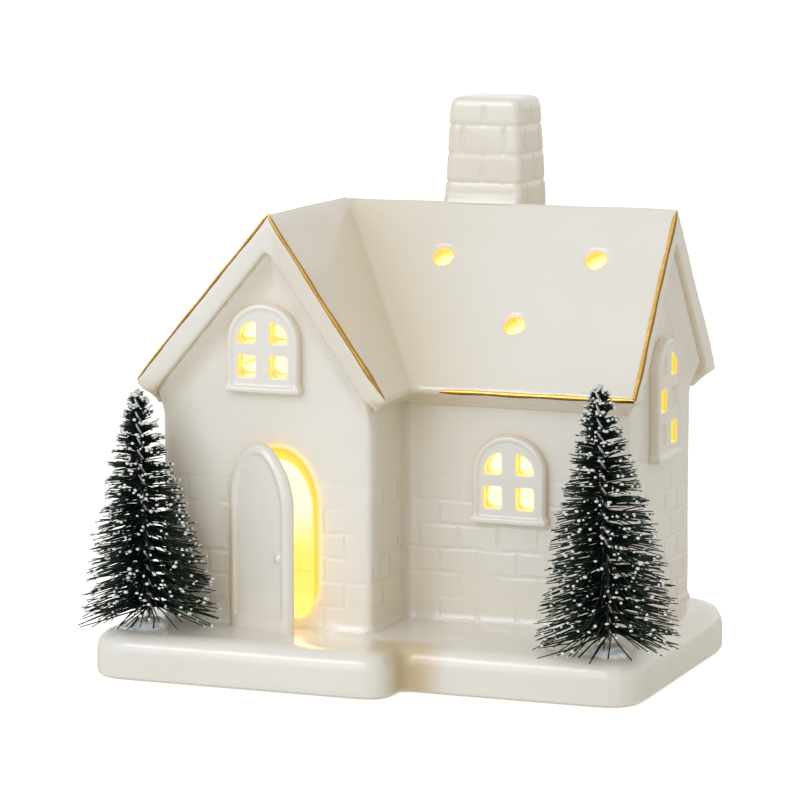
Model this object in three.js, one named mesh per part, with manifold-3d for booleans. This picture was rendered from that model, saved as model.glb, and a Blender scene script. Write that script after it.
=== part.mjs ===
// A lit ceramic house ornament: an L-shaped cottage of slip-cast glazed porcelain on a low plinth,
// with two bottle-brush trees and a small battery light that plugs into the underside.
// Millimetres, +Z up. X runs along the street front, Y towards the back.

import * as THREE from 'three';
import { mergeVertices } from 'three/addons/utils/BufferGeometryUtils.js';
import Module from 'manifold-3d';

const wasm = await Module();
wasm.setup();

// Clearances
const lutingGap = 0.3; // thin joint between two ceramic members that are glazed together
const trimGap = 0.15; // film between a gold line and the glaze under it
const runningGap = 0.3; // play around a piece that moves or drops in

// Plan of the walls
const wingCentreX = -1.3;
const wingHalfWidth = 27.4;
const wingFrontY = -47.5;
const mainFrontY = -25.5;
const mainRearY = 26;
const mainRightX = 82.1;
const wallThickness = 3.4;
const wallCornerRadius = 2.2;

// Roof
const ridgeHeight = 111;
const eaveHeight = 68.5;
const wingEaveLift = 1.6; // the wing's outer eave stands this much higher
const wingRidgeLean = 2.3; // the wing's ridge stands this far right of its gable's middle
const wingEaveOverhang = 4.8;
const mainEaveOverhang = 7.5;
const wingRakeOverhang = 4.5;
const mainRakeOverhang = 4;
const roofThickness = 5.4; // square to the slope
const eaveNose = 0.9; // upright edge at the foot of a slope
const coveDrop = 4.8; // hollow moulding from the nose's foot down to the wall
const coveHollow = 0.5; // 0 is a flat bevel, 1 a full quarter hollow
const coveSteps = 4;

// Plinth
const plinthHeight = 11.3;
const plinthLeftYard = 10.6; // ground shown beside each wall, out to the plinth's edge
const plinthRightYard = 12.2;
const plinthPorch = 22;
const plinthGarden = 32.3;
const plinthRearYard = 3.5;
const plinthPathYard = 11.7; // right of the wing, where the front edge steps back
const plinthLeftX = wingCentreX - wingHalfWidth - plinthLeftYard;
const plinthRightX = mainRightX + plinthRightYard;
const plinthWingFrontY = wingFrontY - plinthPorch;
const plinthMainFrontY = mainFrontY - plinthGarden;
const plinthRearY = mainRearY + plinthRearYard;
const plinthStepX = wingCentreX + wingHalfWidth + plinthPathYard;
const plinthCornerRadius = 10;
const plinthRearRadius = 20;
const plinthStepRadius = 8;
const plinthCreaseRadius = 2.4;
const plinthTopRound = 4.5;
const plinthFootRound = 1.2;
const plinthFloor = 4.6;

// Chimney
const chimneyX = 36.1;
const chimneyTop = 136;
const chimneyTopWidth = 18.2;
const chimneyTopDepth = 17.6;
const chimneyFrontY = 0.8; // front face at the top
const chimneySpread = 0.045; // each face leans out by this share of the drop
const chimneyFoot = 84; // the block is drawn down to here, then cut by the roof
const chimneyCornerRadius = 2.2;
const chimneyEdgeRound = 2;
const chimneyCourse = 6.9;
const mortarWidth = 0.9;
const mortarDepth = 0.45;
const chimneyBrick = 10.4;

// Windows
const windowWidth = 18.4;
const windowHeight = 21.5;
const windowRelief = 2.4;
const windowBevel = 0.5;
const mullionWidth = 3.6;
const paneWidth = 4.6;
const lowerPaneFoot = 3.7;
const lowerPaneHeight = 5.4;
const upperPaneFoot = 12;
const upperPaneHeight = 5.3;
const sillSpread = 0.5;
const sillHeight = 1.6;
const sillRelief = 0.3;
const gableWindowGap = 3.5; // between the gable window's arch and the rake over it
const frontWindowX = 53;
const frontWindowFoot = 36.1;
const sideWindowFoot = 49.7;
const sideWindowHeight = 29.6;
const sideRowPitch = 8.4;
const sideFirstRow = 3.6;
const blindPaneDepth = 1.1;
const shoulderFullness = 0.85; // how far up an upper pane its rounded shoulder starts to turn in

// Doorway and the leaf that stands ajar
const doorwayX = 1.7;
const doorwayWidth = 20.9;
const doorwayTop = 54;
const doorwaySill = 2.5;
const doorArchRise = 0.7; // share of its width that a door's arch rises
const leafWidth = 20;
const leafHeight = 44;
const leafThickness = 2.7;
const leafAngle = 20 * Math.PI / 180;
const leafRim = 2.3;
const leafPanelDepth = 0.7;
const knobRadius = 1;
const knobHeight = 17;
const leafOverlap = 1; // how far the leaf's hinge edge lies over the doorway's jamb
const leafFootGap = 1;

// Light holes through the front slope, as places on the plan
const lightHoleRadius = 2.5;
const lightHoles = [[29.6, -10], [68.5, -9.6], [52, -21.4]];

// Gold lines
const goldWidth = 1;
const goldThickness = 0.4;
const eaveLineStart = 39;

// Trees
const treeHeight = 60;
const treeTopRadius = 1.6;
const treeTaper = 0.27; // spread of the bristles per millimetre below the tip
const treeFirstTier = 4.5;
const strandCount = 190;
const strandFoot = 0.6; // first bristle above the first tier's foot
const strandRadius = 0.27;
const strandSides = 3;
const strandClearance = 0.8;
const strandDroop = 0.13; // fall per millimetre of reach at the foot of a tree
const strandLift = 0.75; // how much more the bristles at the tip rise
const liftBend = 2.4;
const lengthScatter = 0.07;
const bareTip = 1.5;
const goldenAngle = Math.PI * (3 - Math.sqrt(5));
const wireHalfWidth = 0.75;
const wireHalfThickness = 0.42;
const wirePitch = 7;
const wireSides = 6;
const sleeveWall = 0.5;
const sleeveFit = 0.25;
const moundRadius = 4;
const moundHeight = 2;
const treeLean = 3 * Math.PI / 180;
const leftTreeFromEnd = 12.3; // each tree's foot, measured from the plinth's two nearest edges
const leftTreeFromStreet = 11;
const rightTreeFromEnd = 8.5;
const rightTreeFromStreet = 8.3;
const leftTree = [plinthLeftX + leftTreeFromEnd, plinthWingFrontY + leftTreeFromStreet];
const rightTree = [plinthRightX - rightTreeFromEnd, plinthMainFrontY + rightTreeFromStreet];

// Light module, about its own axis
const moduleX = 26;
const moduleY = 0;
const cellRadius = 10;
const cellThickness = 3.2;
const cellX = -3.5;
const wellFit = 0.5;
const wellWall = 2.3;
const wellHeight = 5.2;
const doorLap = 1.2; // how far the battery door reaches past the well's bore
const doorThickness = 0.9;
const screwOffset = 1.9; // the screw stands this far outside the door's round edge
const screwHeadRadius = 1.7;
const screwHeadHeight = 0.5;
const screwShankRadius = 0.8;
const screwLength = 4.5;
const screwSlotWidth = 0.5;
const screwSlotDepth = 0.2;
const bossRadius = 2.3;
const switchGap = 1; // between the well and the switch's case
const switchWidth = 4.4;
const switchLength = 9;
const switchHeight = 3.8;
const switchTravel = 2.5;
const sliderWidth = 1.4;
const sliderLength = 2.6;
const sliderInset = 0.1; // the slider stays this far above the flange's underside
const sliderLip = 0.2;
const trackSill = 0.9; // height of the slider's track above the housing's floor
const trackHeight = 1.4;
const switchPinRadius = 0.35;
const switchPinPitch = 2.5;
const contactThickness = 0.4;
const contactWidth = 4;
const contactReach = 5; // the sprung leaf reaches this far to each side of its bend
const contactNose = 1.5; // its upturned end
const clipTurn = 2;
const contactLift = 0.2; // film under the board
const housingMargin = 0.16; // between the housing's bore and the outermost piece in it
const housingWall = 1.5;
const flangeReach = 4.5;
const flangeFoot = 0.6;
const flangeThickness = 1.2;
const gasketLip = 1;
const gasketWall = 1.3;
const gasketHeight = 4;
const gasketFit = 0.2;
const boardGap = 0.9; // between the board's rim and the housing's bore
const boardLift = 1.6; // between the well's top and the board
const boardThickness = 1.2;
const boardPostRadius = 1.6;
const boardPostInset = 4.6;
const boardPostHeight = 3.7;
const ledRadius = 2.5;
const ledLength = 8.6;
const ledRimRadius = 2.9;
const ledRimHeight = 1;

// Sizes of the light module that follow from what it holds
const floorTop = flangeFoot + flangeThickness;
const wellInner = cellRadius + wellFit;
const wellOuter = wellInner + wellWall;
const wellTop = floorTop + wellHeight;
const doorRadius = wellInner + doorLap;
const screwReach = doorRadius + screwOffset;
const switchX = cellX + wellOuter + switchGap + switchWidth / 2;
const housingBore = housingMargin + Math.max(
  wellOuter - cellX,
  Math.hypot(cellX, screwReach) + bossRadius,
  Math.hypot(switchX + switchWidth / 2, switchLength / 2));
const housingRadius = housingBore + housingWall;
const flangeRadius = housingRadius + flangeReach;
const boardRadius = housingBore - boardGap;
const boardPostReach = boardRadius - boardPostInset;
const boardFoot = wellTop + boardLift;
const boardTop = boardFoot + boardThickness;
const cavityTop = boardTop + boardPostHeight;
const housingTop = cavityTop + housingWall;
const far = 300;

const glaze = { color: 0xece6dc, roughness: 0.14, metalness: 0 };
const gold = { color: 0xc48a28, roughness: 0.25, metalness: 1 };
const fir = { color: 0x0e2417, roughness: 0.6, metalness: 0 };
const steelWire = { color: 0xa9a79f, roughness: 0.35, metalness: 1 };
const snow = { color: 0xf4f4f2, roughness: 0.9, metalness: 0 };
const whitePlastic = { color: 0xe9e8e4, roughness: 0.45, metalness: 0 };
const silicone = { color: 0xd5d4cf, roughness: 0.7, metalness: 0 };
const springSteel = { color: 0xc9c6bd, roughness: 0.3, metalness: 1 };
const boardGreen = { color: 0x2f6b3c, roughness: 0.5, metalness: 0 };
const warmLens = { color: 0xffd992, roughness: 0.2, metalness: 0, emissive: 0xffb347 };
const blackPlastic = { color: 0x202022, roughness: 0.5, metalness: 0 };

const ornament = new THREE.Group();
const lightModule = new THREE.Group();
lightModule.position.set(moduleX, moduleY, 0);
ornament.add(lightModule);

function addPart(name, shape, finish, parent = ornament) {
  const geometry = shape.isBufferGeometry ? shape : geometryOf(shape);
  const mesh = new THREE.Mesh(geometry, new THREE.MeshStandardMaterial(finish));
  mesh.name = name;
  parent.add(mesh);
  return mesh;
}

// Solids for joining and cutting

function solid(geometry) {
  const bare = geometry.clone();
  bare.deleteAttribute('normal');
  bare.deleteAttribute('uv');
  const merged = mergeVertices(bare);
  return new wasm.Manifold(new wasm.Mesh({
    numProp: 3,
    vertProperties: new Float32Array(merged.attributes.position.array),
    triVerts: new Uint32Array(merged.index.array),
  }));
}

function geometryOf(body) {
  const mesh = body.getMesh();
  const geometry = new THREE.BufferGeometry();
  const places = new Float32Array(mesh.vertProperties);
  geometry.setAttribute('position', new THREE.BufferAttribute(places, 3));
  geometry.setIndex(new THREE.BufferAttribute(new Uint32Array(mesh.triVerts), 1));
  geometry.computeVertexNormals();
  return geometry;
}

function joined(bodies) {
  return bodies.reduce((whole, body) => whole.add(body));
}

// Profiles drawn out along an axis

const streetward = new THREE.Matrix4().makeBasis(
  new THREE.Vector3(1, 0, 0), new THREE.Vector3(0, 0, 1), new THREE.Vector3(0, -1, 0));
const sideward = new THREE.Matrix4().makeBasis(
  new THREE.Vector3(0, 1, 0), new THREE.Vector3(0, 0, 1), new THREE.Vector3(1, 0, 0));

function polygon(points) {
  return new THREE.Shape(points.map(([u, v]) => new THREE.Vector2(u, v)));
}

function extrude(shape, depth, curveSegments = 4) {
  return new THREE.ExtrudeGeometry(shape, { depth, bevelEnabled: false, curveSegments });
}

// Sets the two ends of a shape exactly, so that faces meant to be level are level
function stretch(geometry, axis, low, high) {
  const position = geometry.attributes.position;
  const middle = geometry.boundingBox.getCenter(new THREE.Vector3()).getComponent(axis);
  for (let i = 0; i < position.count; i++) {
    position.setComponent(i, axis, position.getComponent(i, axis) < middle ? low : high);
  }
  return geometry;
}

// A profile in (x, z), filling the stretch from yLow to yHigh
function alongY(shape, yLow, yHigh, curveSegments) {
  const geometry = extrude(shape, 1, curveSegments).applyMatrix4(streetward);
  geometry.computeBoundingBox();
  return solid(stretch(geometry, 1, yLow, yHigh));
}

// A profile in (y, z), filling the stretch from xLow to xHigh
function alongX(shape, xLow, xHigh, curveSegments) {
  const geometry = extrude(shape, 1, curveSegments).applyMatrix4(sideward);
  geometry.computeBoundingBox();
  return solid(stretch(geometry, 0, xLow, xHigh));
}

// A plan in (x, y), filling the height from zLow to zHigh
function upright(shape, zLow, zHigh, curveSegments) {
  const geometry = extrude(shape, 1, curveSegments);
  geometry.computeBoundingBox();
  return solid(stretch(geometry, 2, zLow, zHigh));
}

function block(xLow, xHigh, yLow, yHigh, zLow, zHigh) {
  const geometry = new THREE.BoxGeometry();
  geometry.computeBoundingBox();
  stretch(geometry, 0, xLow, xHigh);
  stretch(geometry, 1, yLow, yHigh);
  return solid(stretch(geometry, 2, zLow, zHigh));
}

function post(radius, zLow, zHigh, x = 0, y = 0, sides = 20) {
  const geometry = new THREE.CylinderGeometry(radius, radius, 1, sides);
  geometry.rotateX(Math.PI / 2).translate(x, y, 0);
  geometry.computeBoundingBox();
  return solid(stretch(geometry, 2, zLow, zHigh));
}

function turned(points, sides = 32) {
  const profile = points.map(([radius, z]) => new THREE.Vector2(radius, z));
  return new THREE.LatheGeometry(profile, sides).rotateX(Math.PI / 2);
}

// Outlines with rounded corners: each corner is [x, y, radius]

function roundedOutline(corners) {
  const shape = new THREE.Shape();
  corners.forEach(([x, y, radius], index) => {
    const corner = new THREE.Vector2(x, y);
    const [lastX, lastY] = corners.at(index - 1);
    const [nextX, nextY] = corners[(index + 1) % corners.length];
    const before = new THREE.Vector2(lastX, lastY).sub(corner).normalize();
    const after = new THREE.Vector2(nextX, nextY).sub(corner).normalize();
    const start = corner.clone().addScaledVector(before, radius);
    const end = corner.clone().addScaledVector(after, radius);
    if (index === 0) shape.moveTo(start.x, start.y);
    else shape.lineTo(start.x, start.y);
    shape.quadraticCurveTo(x, y, end.x, end.y);
  });
  return shape;
}

// The L of the walls, grown outwards by a margin
function wallOutline(grow = 0) {
  const left = wingCentreX - wingHalfWidth - grow;
  const stepX = wingCentreX + wingHalfWidth + grow;
  const outer = wallCornerRadius + Math.max(grow, -wallCornerRadius * 0.8);
  const inner = wallCornerRadius - Math.min(grow, wallCornerRadius * 0.8);
  return roundedOutline([
    [left, wingFrontY - grow, outer],
    [stepX, wingFrontY - grow, outer],
    [stepX, mainFrontY - grow, inner],
    [mainRightX + grow, mainFrontY - grow, outer],
    [mainRightX + grow, mainRearY + grow, outer],
    [left, mainRearY + grow, outer],
  ]);
}

function plinthOutline(inset) {
  return roundedOutline([
    [plinthLeftX + inset, plinthWingFrontY + inset, plinthCornerRadius - inset],
    [plinthStepX - inset, plinthWingFrontY + inset, plinthStepRadius - inset],
    [plinthStepX - inset, plinthMainFrontY + inset, plinthCreaseRadius],
    [plinthRightX - inset, plinthMainFrontY + inset, plinthCornerRadius - inset],
    [plinthRightX - inset, plinthRearY - inset, plinthRearRadius - inset],
    [plinthLeftX + inset, plinthRearY - inset, plinthRearRadius - inset],
  ]);
}

// A closed skin over outlines of the same number of points, stacked at rising heights
function loft(rings, heights) {
  const count = rings[0].length;
  const vertices = rings.flatMap(
    (ring, level) => ring.flatMap((point) => [point.x, point.y, heights[level]]));
  const faces = [];
  for (let level = 0; level + 1 < rings.length; level++) {
    for (let i = 0; i < count; i++) {
      const a = level * count + i;
      const b = level * count + (i + 1) % count;
      faces.push(a, b, b + count, a, b + count, a + count);
    }
  }
  const lid = (rings.length - 1) * count;
  for (const [a, b, c] of THREE.ShapeUtils.triangulateShape(rings[0], [])) faces.push(c, b, a);
  for (const [a, b, c] of THREE.ShapeUtils.triangulateShape(rings.at(-1), [])) {
    faces.push(a + lid, b + lid, c + lid);
  }
  const geometry = new THREE.BufferGeometry();
  geometry.setAttribute('position', new THREE.Float32BufferAttribute(vertices, 3));
  geometry.setIndex(faces);
  return geometry;
}

function ringOf(shape, curveSegments) {
  const points = shape.getPoints(curveSegments);
  if (points[0].distanceTo(points.at(-1)) < 1e-6) points.pop();
  return points;
}

// Roof planes

const wingGable = {
  low: wingCentreX - wingHalfWidth - wingEaveOverhang,
  ridge: wingCentreX + wingRidgeLean,
  high: wingCentreX + wingHalfWidth + wingEaveOverhang,
  wallLow: wingCentreX - wingHalfWidth - lutingGap,
  wallHigh: wingCentreX + wingHalfWidth + lutingGap,
  lowEave: eaveHeight + wingEaveLift,
};
const mainGable = {
  low: mainFrontY - mainEaveOverhang,
  ridge: 0,
  high: mainRearY + mainEaveOverhang,
  wallLow: mainFrontY - lutingGap,
  wallHigh: mainRearY + lutingGap,
  lowEave: eaveHeight,
};
const wingRakeY = wingFrontY - wingRakeOverhang;
const mainRakeX = mainRightX + mainRakeOverhang;

function slopes(gable) {
  return [
    (ridgeHeight - gable.lowEave) / (gable.ridge - gable.low),
    (ridgeHeight - eaveHeight) / (gable.high - gable.ridge),
  ];
}

// The ridge of both slopes sunk by an inset that is square to each slope
function insetRidge(gable, inset) {
  const [rise, fall] = slopes(gable);
  const shift = inset * (Math.hypot(1, rise) - Math.hypot(1, fall)) / (rise + fall);
  return [gable.ridge + shift, ridgeHeight + rise * shift - inset * Math.hypot(1, rise)];
}

// The space under both slopes, down to the ground
function underGable(gable, inset) {
  const [rise, fall] = slopes(gable);
  const [u, z] = insetRidge(gable, inset);
  return polygon([[u - z / rise, 0], [u + z / fall, 0], [u, z]]);
}

// The space under one slope alone, which runs on past the ridge
function underLowSlope(gable, inset) {
  const [rise] = slopes(gable);
  const [u, z] = insetRidge(gable, inset);
  return polygon([[u - z / rise, 0], [far, 0], [far, far], [u + (far - z) / rise, far]]);
}

function underHighSlope(gable, inset) {
  const [, fall] = slopes(gable);
  const [u, z] = insetRidge(gable, inset);
  return polygon([[-far, 0], [u + z / fall, 0], [u - (far - z) / fall, far], [-far, far]]);
}

// The gable window's foot: its arch keeps the same distance from the nearer slope
function windowFootUnder(gable, middle) {
  const [rise, fall] = slopes(gable);
  const [u, z] = insetRidge(gable, roofThickness);
  const reach = windowWidth / 2 + gableWindowGap;
  const underLow = z + rise * (middle - u) - reach * Math.hypot(1, rise);
  const underHigh = z - fall * (middle - u) - reach * Math.hypot(1, fall);
  return Math.min(underLow, underHigh) + windowWidth / 2 - windowHeight;
}

const gableWindowFoot = windowFootUnder(wingGable, wingCentreX);

// Everything under the L-shaped roof: a valley in the inner corner and a hip over the outer one
function underRoof(inset) {
  const main = alongX(underGable(mainGable, inset), -far, far);
  const wing = alongY(underGable(wingGable, inset), -far, far);
  const hipSide = alongY(underLowSlope(wingGable, inset), -far, far);
  const hipRear = alongX(underHighSlope(mainGable, inset), -far, far);
  return main.intersect(hipSide).add(wing.intersect(hipRear));
}

const coveFoot = eaveHeight - eaveNose - coveDrop;

// The nose and the hollow moulding under it, from the eave's edge in to the wall
function eaveEdge(edge, wall, top = eaveHeight) {
  const noseFoot = top - eaveNose;
  const drop = noseFoot - coveFoot;
  const points = [[edge, top], [edge, noseFoot]];
  for (let step = 1; step <= coveSteps; step++) {
    const turn = step / coveSteps * Math.PI / 2;
    const across = Math.sin(turn);
    const fall = coveHollow * (1 - Math.cos(turn)) + (1 - coveHollow) * across;
    points.push([edge + (wall - edge) * across, noseFoot - drop * fall]);
  }
  return points;
}

function roofBlock() {
  const gableProfile = (gable) => polygon([
    [gable.ridge, ridgeHeight],
    ...eaveEdge(gable.low, gable.wallLow, gable.lowEave),
    ...eaveEdge(gable.high, gable.wallHigh).reverse(),
  ]);
  const lowRun = (far - wingGable.lowEave) / slopes(wingGable)[0];
  const highRun = (far - eaveHeight) / slopes(mainGable)[1];
  const sideProfile = polygon([
    ...eaveEdge(wingGable.low, wingGable.wallLow, wingGable.lowEave),
    [far, coveFoot], [far, far], [wingGable.low + lowRun, far],
  ]);
  const rearProfile = polygon([
    [mainGable.high - highRun, far], [-far, far], [-far, coveFoot],
    ...eaveEdge(mainGable.high, mainGable.wallHigh).reverse(),
  ]);
  const main = alongX(gableProfile(mainGable), -far, mainRakeX);
  const wing = alongY(gableProfile(wingGable), wingRakeY, far);
  const mainWithSide = main.intersect(alongY(sideProfile, -far, far));
  const wingWithRear = wing.intersect(alongX(rearProfile, -far, far));
  return mainWithSide.add(wingWithRear).intersect(eaveReturns());
}

// The moulding turns the corner under each rake and dies into the gable wall
function eaveReturns() {
  const street = polygon([
    ...eaveEdge(wingRakeY, wingFrontY - lutingGap),
    [far, coveFoot], [far, far], [wingRakeY, far],
  ]);
  const end = polygon([
    [mainRakeX, far], [-far, far], [-far, coveFoot],
    ...eaveEdge(mainRakeX, mainRightX + lutingGap).reverse(),
  ]);
  return alongX(street, -far, far).intersect(alongY(end, -far, far));
}

// The room inside the eaves, open past both gable ends
function roofSeat() {
  const room = upright(wallOutline(lutingGap), 0, far, 3);
  const wingEnd = wingFrontY + 2 * wallCornerRadius;
  const mainEnd = mainRightX - 2 * wallCornerRadius;
  const pastWing = block(wingGable.wallLow, wingGable.wallHigh, -far, wingEnd, 0, far);
  const pastMain = block(mainEnd, far, mainGable.wallLow, mainGable.wallHigh, 0, far);
  return room.add(pastWing).add(pastMain).intersect(underRoof(roofThickness));
}

function buildRoof() {
  const [slope] = slopes(mainGable);
  const square = new THREE.Vector3(0, -slope, 1).normalize();
  const drills = lightHoles.map(([x, y]) => {
    const drill = new THREE.CylinderGeometry(lightHoleRadius, lightHoleRadius, roofThickness * 3, 16);
    drill.applyQuaternion(new THREE.Quaternion().setFromUnitVectors(new THREE.Vector3(0, 1, 0), square));
    return solid(drill.translate(x, y, ridgeHeight + slope * y));
  });
  return roofBlock().subtract(roofSeat()).subtract(joined(drills));
}

// Windows, drawn in (u, v) with the sill's foot at v = 0 and the middle at u = 0

function archShape(width, height, rise = width / 2) {
  const half = width / 2;
  const shape = new THREE.Shape();
  shape.moveTo(-half, 0);
  shape.lineTo(half, 0);
  shape.lineTo(half, height - rise);
  shape.absellipse(0, height - rise, half, rise, 0, Math.PI, false, 0);
  shape.lineTo(-half, 0);
  return shape;
}

function rectangle(uLow, uHigh, vLow, vHigh) {
  return polygon([[uLow, vLow], [uHigh, vLow], [uHigh, vHigh], [uLow, vHigh]]);
}

// An upper pane has its outer shoulder rounded off under the arch
function shoulderPane(side, foot, height) {
  const near = side * mullionWidth / 2;
  const outer = side * (mullionWidth / 2 + paneWidth);
  const shape = new THREE.Shape();
  shape.moveTo(near, foot);
  shape.lineTo(outer, foot);
  shape.quadraticCurveTo(outer, foot + height * shoulderFullness, near, foot + height);
  shape.lineTo(near, foot);
  return shape;
}

function squarePane(side, foot, height) {
  const near = side * mullionWidth / 2;
  const outer = side * (mullionWidth / 2 + paneWidth);
  return rectangle(Math.min(near, outer), Math.max(near, outer), foot, foot + height);
}

function pairedPanes() {
  return [-1, 1].flatMap((side) => [
    squarePane(side, lowerPaneFoot, lowerPaneHeight),
    shoulderPane(side, upperPaneFoot, upperPaneHeight),
  ]);
}

// Three rows in the side window: pierced and blind panes change places like a chequerboard
function chequeredPanes(pierced) {
  const panes = [];
  for (let row = 0; row < 3; row++) {
    for (const side of [-1, 1]) {
      const open = (row % 2 === 0) === (side === 1);
      const make = row === 2 ? shoulderPane : squarePane;
      if (open === pierced) panes.push(make(side, sideFirstRow + row * sideRowPitch, lowerPaneHeight));
    }
  }
  return panes;
}

function surround(height, panes, blindPanes = []) {
  const face = archShape(windowWidth - 2 * windowBevel, height - 2 * windowBevel);
  const frame = new THREE.ExtrudeGeometry(face, {
    depth: windowRelief - windowBevel,
    bevelThickness: windowBevel,
    bevelSize: windowBevel,
    bevelSegments: 1,
    curveSegments: 14,
  });
  frame.translate(0, windowBevel, 0);
  const back = block(-far, far, -far, far, -far, 0);
  const sill = block(
    -windowWidth / 2 - sillSpread, windowWidth / 2 + sillSpread, 0, sillHeight, 0, windowRelief + sillRelief);
  let body = solid(frame).subtract(back).add(sill);
  for (const pane of panes) body = body.subtract(solid(extrude(pane, far, 5).translate(0, 0, -1)));
  for (const pane of blindPanes) {
    body = body.subtract(solid(extrude(pane, far, 5).translate(0, 0, windowRelief - blindPaneDepth)));
  }
  return body;
}

function streetWindow(name, x, wallY, foot) {
  const mesh = addPart(name, surround(windowHeight, pairedPanes()), glaze);
  mesh.geometry.applyMatrix4(streetward);
  mesh.position.set(x, wallY - lutingGap, foot);
}

function windowCuts(panes, direction, x, y, z) {
  return panes.map((pane) => {
    const cut = extrude(pane, wallThickness * 3, 5).translate(0, 0, -wallThickness * 1.5);
    return solid(cut.applyMatrix4(direction).translate(x, y, z));
  });
}

// Walls, plinth, roof and chimney

function buildWalls() {
  const outside = upright(wallOutline(), plinthHeight, far, 3);
  const inside = upright(wallOutline(-wallThickness), 0, far, 3);
  const doorwayFoot = plinthHeight + doorwaySill;
  const doorway = archShape(doorwayWidth, doorwayTop - doorwayFoot, doorwayWidth * doorArchRise);
  const door = extrude(doorway, wallThickness * 3, 16).translate(0, 0, -wallThickness * 1.5);
  door.applyMatrix4(streetward).translate(doorwayX, wingFrontY + wallThickness / 2, doorwayFoot);
  const cuts = [
    solid(door),
    ...windowCuts(pairedPanes(), streetward, wingCentreX, wingFrontY, gableWindowFoot),
    ...windowCuts(pairedPanes(), streetward, frontWindowX, mainFrontY, frontWindowFoot),
    ...windowCuts(chequeredPanes(true), sideward, mainRightX, 0, sideWindowFoot),
  ];
  return outside.intersect(underRoof(roofThickness + lutingGap)).subtract(inside).subtract(joined(cuts));
}

const seatDepth = floorTop + gasketLip;
const baseHoleRadius = housingRadius + gasketFit + gasketWall + gasketFit;

function buildPlinth() {
  const insets = [];
  const heights = [];
  for (let step = 0; step <= 2; step++) {
    const turn = step / 2 * Math.PI / 2;
    insets.push(plinthFootRound * (1 - Math.sin(turn)));
    heights.push(plinthFootRound * (1 - Math.cos(turn)));
  }
  for (let step = 0; step <= 4; step++) {
    const turn = step / 4 * Math.PI / 2;
    insets.push(plinthTopRound * (1 - Math.cos(turn)));
    heights.push(plinthHeight - plinthTopRound * (1 - Math.sin(turn)));
  }
  const rings = insets.map((inset) => ringOf(plinthOutline(inset), 5));
  const well = upright(wallOutline(-wallThickness), plinthFloor, far, 3);
  const seat = post(flangeRadius + gasketFit, -1, seatDepth, moduleX, moduleY, 36);
  const hole = post(baseHoleRadius, -1, far, moduleX, moduleY, 36);
  return solid(loft(rings, heights)).subtract(well).subtract(seat).subtract(hole);
}

function chimneyRing(z, inset) {
  const drop = chimneyTop - z;
  const halfWidth = chimneyTopWidth / 2 + drop * chimneySpread - inset;
  const front = chimneyFrontY - drop * chimneySpread + inset;
  const rear = chimneyFrontY + chimneyTopDepth + drop * chimneySpread - inset;
  const radius = Math.max(chimneyCornerRadius - inset, 0.6);
  return ringOf(roundedOutline([
    [chimneyX - halfWidth, front, radius],
    [chimneyX + halfWidth, front, radius],
    [chimneyX + halfWidth, rear, radius],
    [chimneyX - halfWidth, rear, radius],
  ]), 3);
}

function chimneyBody(inset) {
  const insets = [inset, inset];
  const heights = [chimneyFoot, chimneyTop - chimneyEdgeRound];
  for (let step = 1; step <= 2; step++) {
    const turn = step / 2 * Math.PI / 2;
    insets.push(inset + chimneyEdgeRound * (1 - Math.cos(turn)));
    heights.push(chimneyTop - chimneyEdgeRound * (1 - Math.sin(turn)));
  }
  return solid(loft(heights.map((z, level) => chimneyRing(z, insets[level])), heights));
}

function buildChimney() {
  const joints = [];
  const half = mortarWidth / 2;
  const courses = Math.ceil((chimneyTop - ridgeHeight) / chimneyCourse) + 1;
  const middleY = chimneyFrontY + chimneyTopDepth / 2;
  for (let course = 0; course < courses; course++) {
    const top = chimneyTop - course * chimneyCourse;
    const foot = top - chimneyCourse;
    if (course > 0) joints.push(block(0, far, -far, far, top - half, top + half));
    const offsets = course % 2 === 0 ? [0] : [-chimneyBrick / 2, chimneyBrick / 2];
    const high = course === 0 ? top - chimneyEdgeRound : top;
    for (const offset of offsets) {
      joints.push(block(chimneyX + offset - half, chimneyX + offset + half, -far, far, foot, high));
      joints.push(block(0, far, middleY + offset - half, middleY + offset + half, foot, high));
    }
  }
  const plainFoot = underRoof(-lutingGap - 2 * mortarWidth);
  const mortar = joined(joints).subtract(chimneyBody(mortarDepth)).subtract(plainFoot);
  return chimneyBody(0).subtract(mortar).subtract(underRoof(-lutingGap));
}

addPart('plinth', buildPlinth(), glaze);
addPart('house_walls', buildWalls(), glaze);
addPart('roof', buildRoof(), glaze);
addPart('chimney', buildChimney(), glaze);

streetWindow('gable_window_surround', wingCentreX, wingFrontY, gableWindowFoot);
streetWindow('front_window_surround', frontWindowX, mainFrontY, frontWindowFoot);
const sideWindow = addPart('side_window_surround',
  surround(sideWindowHeight, chequeredPanes(true), chequeredPanes(false)), glaze);
sideWindow.geometry.applyMatrix4(sideward);
sideWindow.position.set(mainRightX + lutingGap, 0, sideWindowFoot);

// The leaf is drawn with its hinge edge at u = 0, then swung open towards the street

function buildLeaf() {
  const archRise = leafWidth * doorArchRise;
  const slab = solid(extrude(archShape(leafWidth, leafHeight, archRise), leafThickness, 16));
  const panelShape = archShape(leafWidth - 2 * leafRim, leafHeight - 2 * leafRim, archRise - leafRim);
  const panel = solid(extrude(panelShape, far, 16).translate(0, leafRim, leafThickness - leafPanelDepth));
  const knobReach = leafWidth / 2 - leafRim - 1.5 * knobRadius;
  const knob = new THREE.SphereGeometry(knobRadius, 10, 6);
  knob.translate(knobReach, knobHeight, leafThickness - leafPanelDepth);
  const leaf = geometryOf(slab.subtract(panel).add(solid(knob)));
  return leaf.translate(leafWidth / 2, 0, 0).applyMatrix4(streetward);
}

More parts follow.
